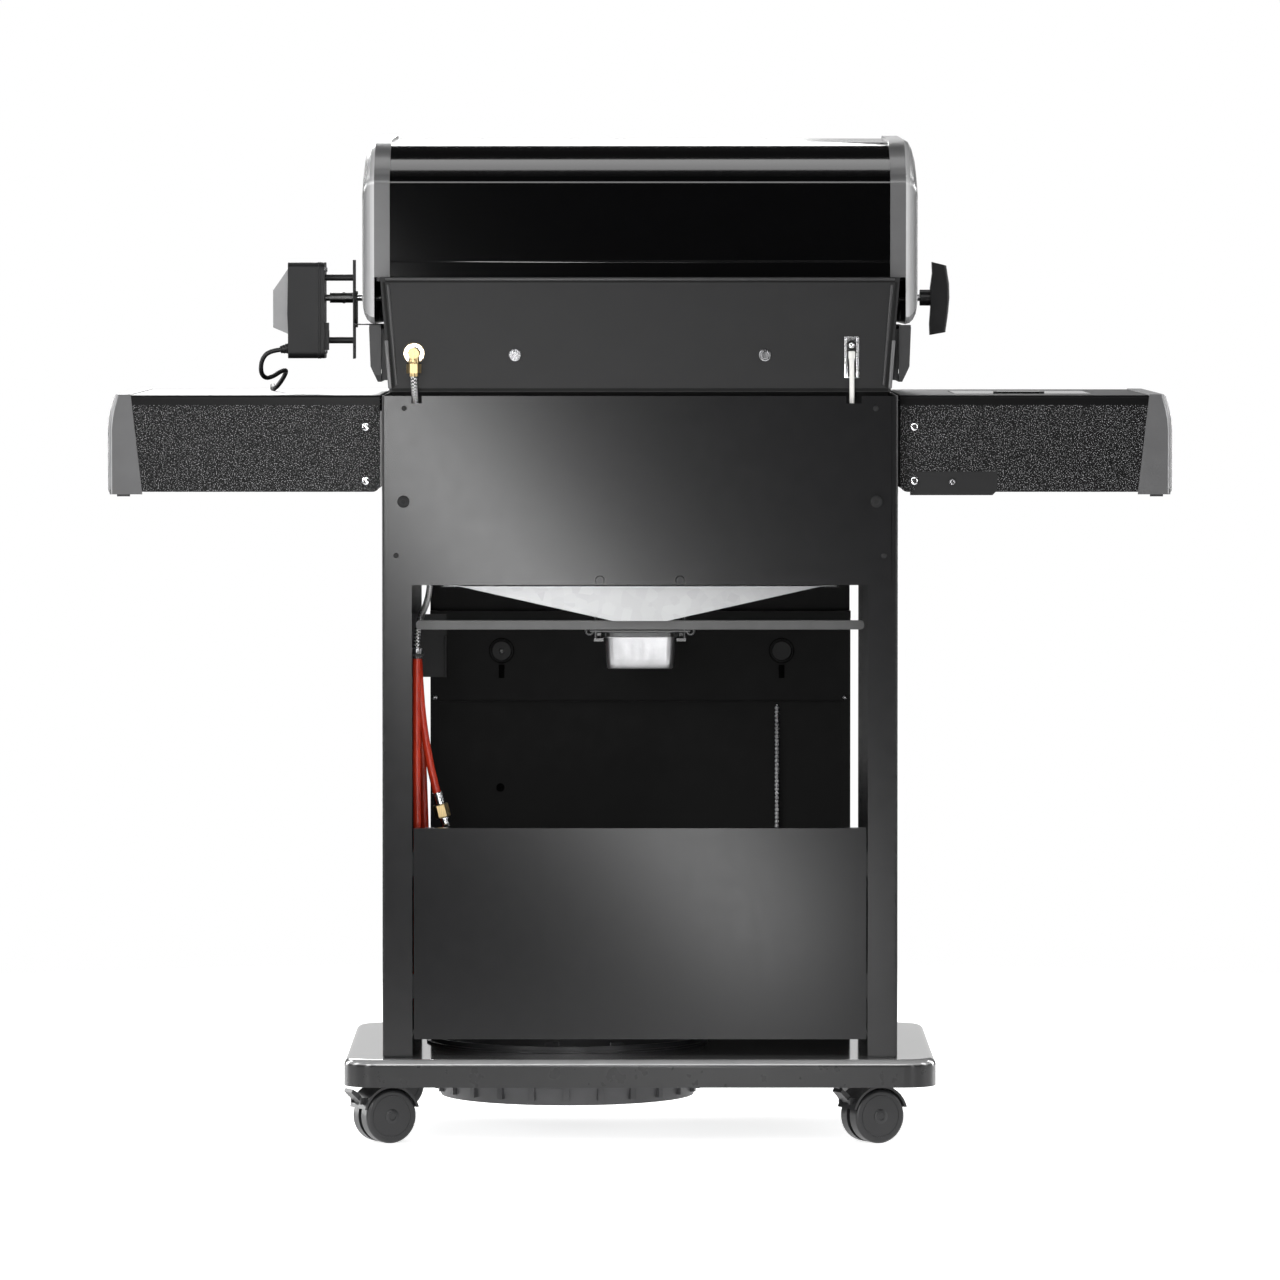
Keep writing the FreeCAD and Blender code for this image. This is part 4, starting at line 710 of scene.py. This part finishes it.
def electrode():
    """The igniter's slotted cover plate, its screw and the insulated lead."""
    bm = bmesh.new()
    block(bm, -267.4, -249.6, 279.0, 280.2, 940, 990.5, 0.5)
    block(bm, -266.2, -264.6, 280.0, 283.4, 941, 989.5, 0.4)
    block(bm, -252.4, -250.8, 280.0, 283.4, 941, 989.5, 0.4)
    plate = piece("igniter_plate", bm, "bright", "grill")
    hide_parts("rear_electrode")
    bm = bmesh.new()
    cross_head(bm, -258.5, 280.4, 980, 4.2, 2.6)
    piece("igniter_screw", bm, "bright", "grill")
    bm = bmesh.new()
    turned(bm, [(0, 0), (0, 5.6), (0.35, 5.6), (0.35, 0)], (-258.5, 280.1, 980), (0, 1, 0), 32)
    block(bm, -263.2, -253.8, 280.1, 280.45, 941, 974, 0.15)
    piece("igniter_slot", bm, "inner_black", "grill")
    bm = bmesh.new()
    turned(
        bm, [(0, 0), (0, 3.0), (1, 4.2), (9, 4.2), (10, 3.4), (13, 3.4), (13, 0)],
        (-258.5, 284.6, 973), (0, 0, -1), 24,
    )
    piece("igniter_insulator", bm, "ceramic", "grill")
    lead = smooth_line("igniter_lead", LEAD_ROUTE, 6.0, "ceramic", "grill")


def elbow_trim():
    """Plated washer and thread rings on the brass elbow."""
    x, y, z = 276.0, FIREBOX_FACE, 970.0
    bm = bmesh.new()
    turned(bm, [(0, 0), (0, 12.7), (1.4, 12.7), (2.0, 12.0), (2.0, 0)], (x, y, z), (0, 1, 0), 48)
    piece("elbow_washer", bm, "bright", "grill")
    bm = bmesh.new()
    thread = [(0, 0), (0, 7.0), (0.7, 7.4), (1.4, 7.0), (1.4, 0)]
    for i in range(4):
        turned(bm, thread, (x, y + 3 + i * 2.4, z), (0, 1, 0), 32)
    collar = [(0, 0), (0, 6.4), (1, 6.8), (3, 6.8), (4, 6.4), (4, 0)]
    turned(bm, collar, (x, 288.5, 962), (0, 0, -1), 32)
    piece("elbow_rings", bm, "brass", "grill")


def slanted(bm, low, high, width, y0, y1, round_mm):
    """A bar on the firebox's rear wall between two (X, Z) points."""
    run = Vector((high[0] - low[0], 0, high[1] - low[1])) * MM
    part = bmesh.new()
    half = run.length / MM / 2
    block(part, -width / 2, width / 2, y0, y1, -half, half, round_mm)
    tilt = Matrix.Rotation(math.atan2(run.x, run.z), 4, "Y")
    middle = Vector(((low[0] + high[0]) / 2, 0, (low[1] + high[1]) / 2)) * MM
    bmesh.ops.transform(part, verts=part.verts, matrix=Matrix.Translation(middle) @ tilt)
    mesh = bpy.data.meshes.new("part")
    part.to_mesh(mesh)
    part.free()
    bm.from_mesh(mesh)
    bpy.data.meshes.remove(mesh)


def firebox_rim():
    """The rolled rim round the firebox's rear wall in a lighter black as painted sheen, dark
    strips inside it as painted shade in the groove, and its side lips in light grey as painted
    highlight.
    """
    wall = 278.9
    bead, groove, lip = bmesh.new(), bmesh.new(), bmesh.new()
    # The bead is painted lighter as a painted sheen.
    slanted(bead, (-311, 1060.6), (311, 1060.6), 3.6, wall, wall + 1.6, 1.1)
    # Dark strips along the groove are painted shade.
    slanted(groove, (-311, 1057.4), (311, 1057.4), 2.0, wall, wall + 0.4, 0.1)
    slanted(groove, (-303, 925.6), (303, 925.6), 3.6, wall, wall + 0.4, 0.1)
    for s in (1, -1):
        slanted(bead, (s * 297.6, 931), (s * 307.6, 1054), 3.4, wall, wall + 1.6, 1.1)
        slanted(groove, (s * 301.2, 928), (s * 313.0, 1057), 3.2, wall, wall + 0.4, 0.1)
        # The side lips are painted light grey as a painted highlight.
        slanted(lip, (s * 305.4, 927), (s * 309.9, 986), 4.4, wall, wall + 1.8, 1.2)
    piece("firebox_rim_bead_painted_sheen", bead, "rim", "grill")
    piece("firebox_rim_groove_painted_shade", groove, "inner_black", "grill")
    piece("firebox_side_lips_painted_highlight", lip, "cast_grey", "grill")
    web = bmesh.new()
    for s in (1, -1):
        slanted(web, (s * 311.8, 937), (s * 313.6, 1000), 8.0, 256, 262, 0.2)
        x0, x1 = sorted((s * 316.5, s * 331))
        block(web, x0, x1, 266.5, 269.8, 1001, 1004.7, 0.3)
    piece("cheek_webs", web, "cheek", "grill")


def lid_details():
    """The hem under the lid's rear edge, rings on the handle's ends and the thermometer's dial."""
    bm = bmesh.new()
    block(bm, -305.8, 305.8, 261.6, 262.7, 1080.6, 1083.0, 0.35)
    piece("lid_rear_hem", bm, "enamel", "lid")
    bm = bmesh.new()
    ring = [(0, 0), (0, 13.3), (6, 13.3), (7, 12.4), (7, 0)]
    for s in (1, -1):
        turned(bm, ring, (s * 255.2, -262, 1062), (s, 0, 0))
    piece("handle_end_rings", bm, "cast_grey", "lid")
    dial()


def dial():
    """The thermometer's face: a pale disc, graduations round its edge and one needle."""
    y = -214.1
    bm = bmesh.new()
    turned(bm, [(0, 0), (0, 33.6), (0.7, 33.6), (0.7, 0)], (0, y, 1122), (0, -1, 0), 64)
    piece("dial_face", bm, "dial", "lid")
    bm = bmesh.new()
    for i in range(25):
        a = math.radians(-220 + 260 * i / 24)
        long = 6.0 if i % 4 == 0 else 3.2
        made = bmesh.ops.create_cube(bm, size=1.0)
        scale = Matrix.Diagonal((long * MM, 0.5 * MM, 0.9 * MM, 1))
        place = Matrix.Translation(((31 - long / 2) * MM, 0, 0))
        spin = Matrix.Rotation(-a, 4, "Y")
        bmesh.ops.transform(
            bm, verts=made["verts"],
            matrix=Matrix.Translation((0, (y - 0.8) * MM, 1.122)) @ spin @ place @ scale,
        )
    made = bmesh.ops.create_cube(bm, size=1.0)
    needle = Matrix.Rotation(math.radians(130), 4, "Y") @ Matrix.Translation((8 * MM, 0, 0))
    bmesh.ops.transform(
        bm, verts=made["verts"],
        matrix=Matrix.Translation((0, (y - 1.3) * MM, 1.122)) @ needle
        @ Matrix.Diagonal((30 * MM, 0.6 * MM, 1.4 * MM, 1)),
    )
    turned(bm, [(0, 0), (0, 3), (2, 3), (2, 0)], (0, y, 1122), (0, -1, 0), 24)
    piece("dial_marks", bm, "inner_black", "lid", 0)


def knob_details():
    """A steel ring round each main knob and a pale stroke on every knob."""
    for i, x in enumerate((-210.0, -70.0, 70.0, 210.0)):
        bm = bmesh.new()
        turned(
            bm, [(0, 28.2), (0, 31.0), (1.6, 31.0), (2.6, 29.8), (2.6, 28.2), (0, 28.2)],
            (x, -266.0, 850), (0, -1, 0), 64,
        )
        piece("knob_bezel_%d" % (i + 1), bm, "steel", "grill")
        bm = bmesh.new()
        block(bm, x - 0.9, x + 0.9, -310.0, -309.3, 861, 871.5, 0.2)
        piece("knob_mark_%d" % (i + 1), bm, "dial", "main_knob_%d" % (i + 1))
    bm = bmesh.new()
    block(bm, -475.8, -474.2, -246.0, -245.3, 868, 877, 0.2)
    piece("burner_knob_mark", bm, "dial", "burner_knob")


def motor_details():
    """Parting line, switch rocker, screws and ribbed cord gland of the spit motor."""
    bm = bmesh.new()
    for x in (397.4, 399.4):
        block(bm, x, x + 0.9, 11.6, 88.4, 961.2, 1081.4, 0.3)
    piece("motor_seam", bm, "motor", "grill")
    bm = bmesh.new()
    block(bm, 386.9, 388.4, 71.5, 81.5, 981, 997, 0.6)
    piece("motor_rocker", bm, "plastic", "grill")
    bm = bmesh.new()
    head = [(0, 0), (0, 3), (1, 3), (1.4, 2.4), (1.4, 0)]
    for z in (1072, 970):
        for y in (20, 80):
            turned(bm, head, (392.6, y, z), (-1, 0, 0), 20)
    piece("motor_screws", bm, "chain", "grill")
    bm = bmesh.new()
    gland = [(0, 0), (0, 7.4)]
    for i in range(3):
        at, less = 3.6 * i, 0.7 * i
        gland += [(2 + at, 6.9 - less), (3.4 + at, 5.7 - 0.6 * i), (4.4 + at, 6.3 - less)]
    gland += [(13.0, 4.3), (13.0, 0)]
    turned(bm, gland, (436.2, 50, 974.2), (13, 0, -2.2), 28)
    piece("motor_gland_ribs", bm, "rubber", "grill")


def caster_details():
    """Hub caps and rim lines on both faces of every twin wheel."""
    turn = math.radians(CASTER_TURN)
    axle = Vector((-math.sin(turn), math.cos(turn), 0))
    along = Vector((math.cos(turn), math.sin(turn), 0))
    places = dict(
        rear_right=(300, 240), rear_left=(-300, 240),
        front_right=(300, -160), front_left=(-300, -160),
    )
    hub = [(0, 0), (0, 9.0), (0.9, 9.0), (1.3, 8.2), (1.3, 5.0), (0.5, 4.4), (0.5, 0)]
    rim = [(0, 24.6), (0, 26.0), (0.9, 25.8), (0.9, 24.8), (0, 24.6)]
    for name, (x, y) in places.items():
        centre = Vector((x, y, AXLE_HEIGHT)) + along * CASTER_TRAIL
        bm = bmesh.new()
        for s in (1, -1):
            face = centre + axle * (s * 21.6)
            turned(bm, hub, face, axle * s, 36)
            turned(bm, rim, face, axle * s, 48)
        piece("wheel_hub_" + name, bm, "wheel", "roll_" + name)


def tray_cup():
    """A pressed foil cup: pleated walls, a rolled rim and a flat bottom."""
    bm = bmesh.new()
    y0, y1 = 10.0, 140.0
    # Each level gives its height, half the width, the inset of the ends and the pleats' depth.
    levels = (
        (577.4, 39.6, 5.6, 0.0), (578.4, 40.9, 4.4, 0.05), (590.0, 41.9, 3.0, 0.14),
        (603.0, 42.7, 1.4, 0.14), (614.5, 43.2, 0.3, 0.1), (616.9, 43.6, 0.0, 0.0),
        (617.3, 46.0, -2.6, 0.0), (617.1, 47.4, -4.0, 0.0), (616.5, 47.7, -4.3, 0.0),
    )
    steps, pleats, squareness = 120, 30, 14
    rings = []
    for z, half_x, inset, pleat in levels:
        half_y = (y1 - y0) / 2 - inset
        ring = []
        for i in range(steps):
            a = 2 * math.pi * i / steps
            c, s = math.cos(a), math.sin(a)
            reach = abs(c / half_x) ** squareness + abs(s / half_y) ** squareness
            reach = reach ** (-1 / squareness) + pleat * math.cos(pleats * a)
            ring.append(bm.verts.new((reach * c * MM, ((y0 + y1) / 2 + reach * s) * MM, z * MM)))
        rings.append(ring)
    for low, high in zip(rings, rings[1:]):
        for i in range(steps):
            j = (i + 1) % steps
            bm.faces.new((low[i], low[j], high[j], high[i]))
    bm.faces.new(list(reversed(rings[0])))
    cup = piece("foil_grease_cup", bm, "foil", "cup", 50)
    thick = cup.modifiers.new("wall", "SOLIDIFY")
    thick.thickness = 0.25 * MM
    thick.offset = -1
    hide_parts("foil_cup")


def dress_nodes():
    """Materials of the CAD nodes, and of single faces where one node shows several."""
    plain = {
        "black": ("control_panel", "rotisserie_bracket", "side_burner"),
        "charcoal": ("side_panels", "rear_heat_shield"),
        # The rear lower panel takes the darker painted-shade copy of the charcoal coat.
        "charcoal_painted_shade": ("rear_lower_panel",),
        "inner_black": ("front_frame",),
        "cheek": ("firebox_cheeks",),
        "enamel": ("lid_shell", "side_burner_lid"),
        "well": ("tank_well",),
        "rail": ("drip_tray_handle",),
        "galvanised": ("drip_pan",),
        "hammertone": ("shelf_right",),
        "steel": ("lid_handle", "spit_rod", "spit_forks", "thermometer", "gas_manifold"),
        "dark_steel": ("cup_hanger",),
        "steel_y": ("main_burners", "sear_plates", "door_handle"),
        "iron": ("cooking_grids",),
        "bead": ("match_chain",),
        "plastic": ("spit_handle", "knob_1", "knob_2", "knob_3", "knob_4", "side_burner_knob"),
    }
    for mat, names in plain.items():
        for name in names:
            dress(name, mat)
    for name in NODES:
        if name.startswith(("caster_", "brake_")):
            dress(name, "plastic")
        if name.startswith("wheels_"):
            dress(name, "wheel")

    # A rule takes a face's centre and normal in metres.
    inside = lambda c, n: not (n.y > 0.5 and c.y > 0.277 and c.z > 0.92)
    dress_where("firebox", "firebox", [("inner_black", inside)])
    dress_where("door", "charcoal", [("inner_black", lambda c, n: n.y > 0.5)])
    # The nose's faces take the painted sheen.
    nose = lambda c, n: c.x > 0.4385 and c.z > 0.985
    dress_where("rotisserie_motor", "motor", [("nose", nose)])
    # The base shelf's upward faces take the painted reflection.
    dress_where("base_shelf", "base", [("base_top", lambda c, n: n.z > 0.3)])
    # The end caps' domed edges take the painted highlight.
    domed = lambda c, n: abs(c.x) > 0.3253 and c.y > 0.0
    dress_where("lid_end_caps", "cast_grey", [("cap_edge_painted_highlight", domed)])
    dress_where("spit_rod", "steel", [("dark_steel", lambda c, n: c.x > 0.349)])
    stay = lambda c, n: c.y > 0.2505 and c.z < 0.826 and c.x < -0.345
    dress_where("shelf_left", "hammertone", [("bracket", stay)])
    brass = lambda c, n: c.x > 0.25
    dress_where("rear_burner", "steel", [("brass", brass)])
    union = lambda c, n: c.y > 0.2 and c.x < 0.2835 and not 0.5979 < c.z < 0.6001
    dress_where("hose_bracket", "bracket", [("chain", union)])
    pad = lambda c, n: c.z < 0.7969
    # The shelf caps' rolled corners take the painted highlight.
    rolled = lambda c, n: c.y > 0.2 and abs(c.x) > 0.641 and n.y > 0.05 and abs(n.x) > 0.1
    for name in ("shelf_cap_right", "shelf_cap_left"):
        dress_where(name, "cast_grey", [("rubber", pad), ("corner", rolled)])


camera()
studio()
LIB = materials()
floor()
dress_nodes()
cords()
fasteners()
match_holder()
electrode()
elbow_trim()
firebox_rim()
lid_details()
knob_details()
motor_details()
caster_details()
tray_cup()
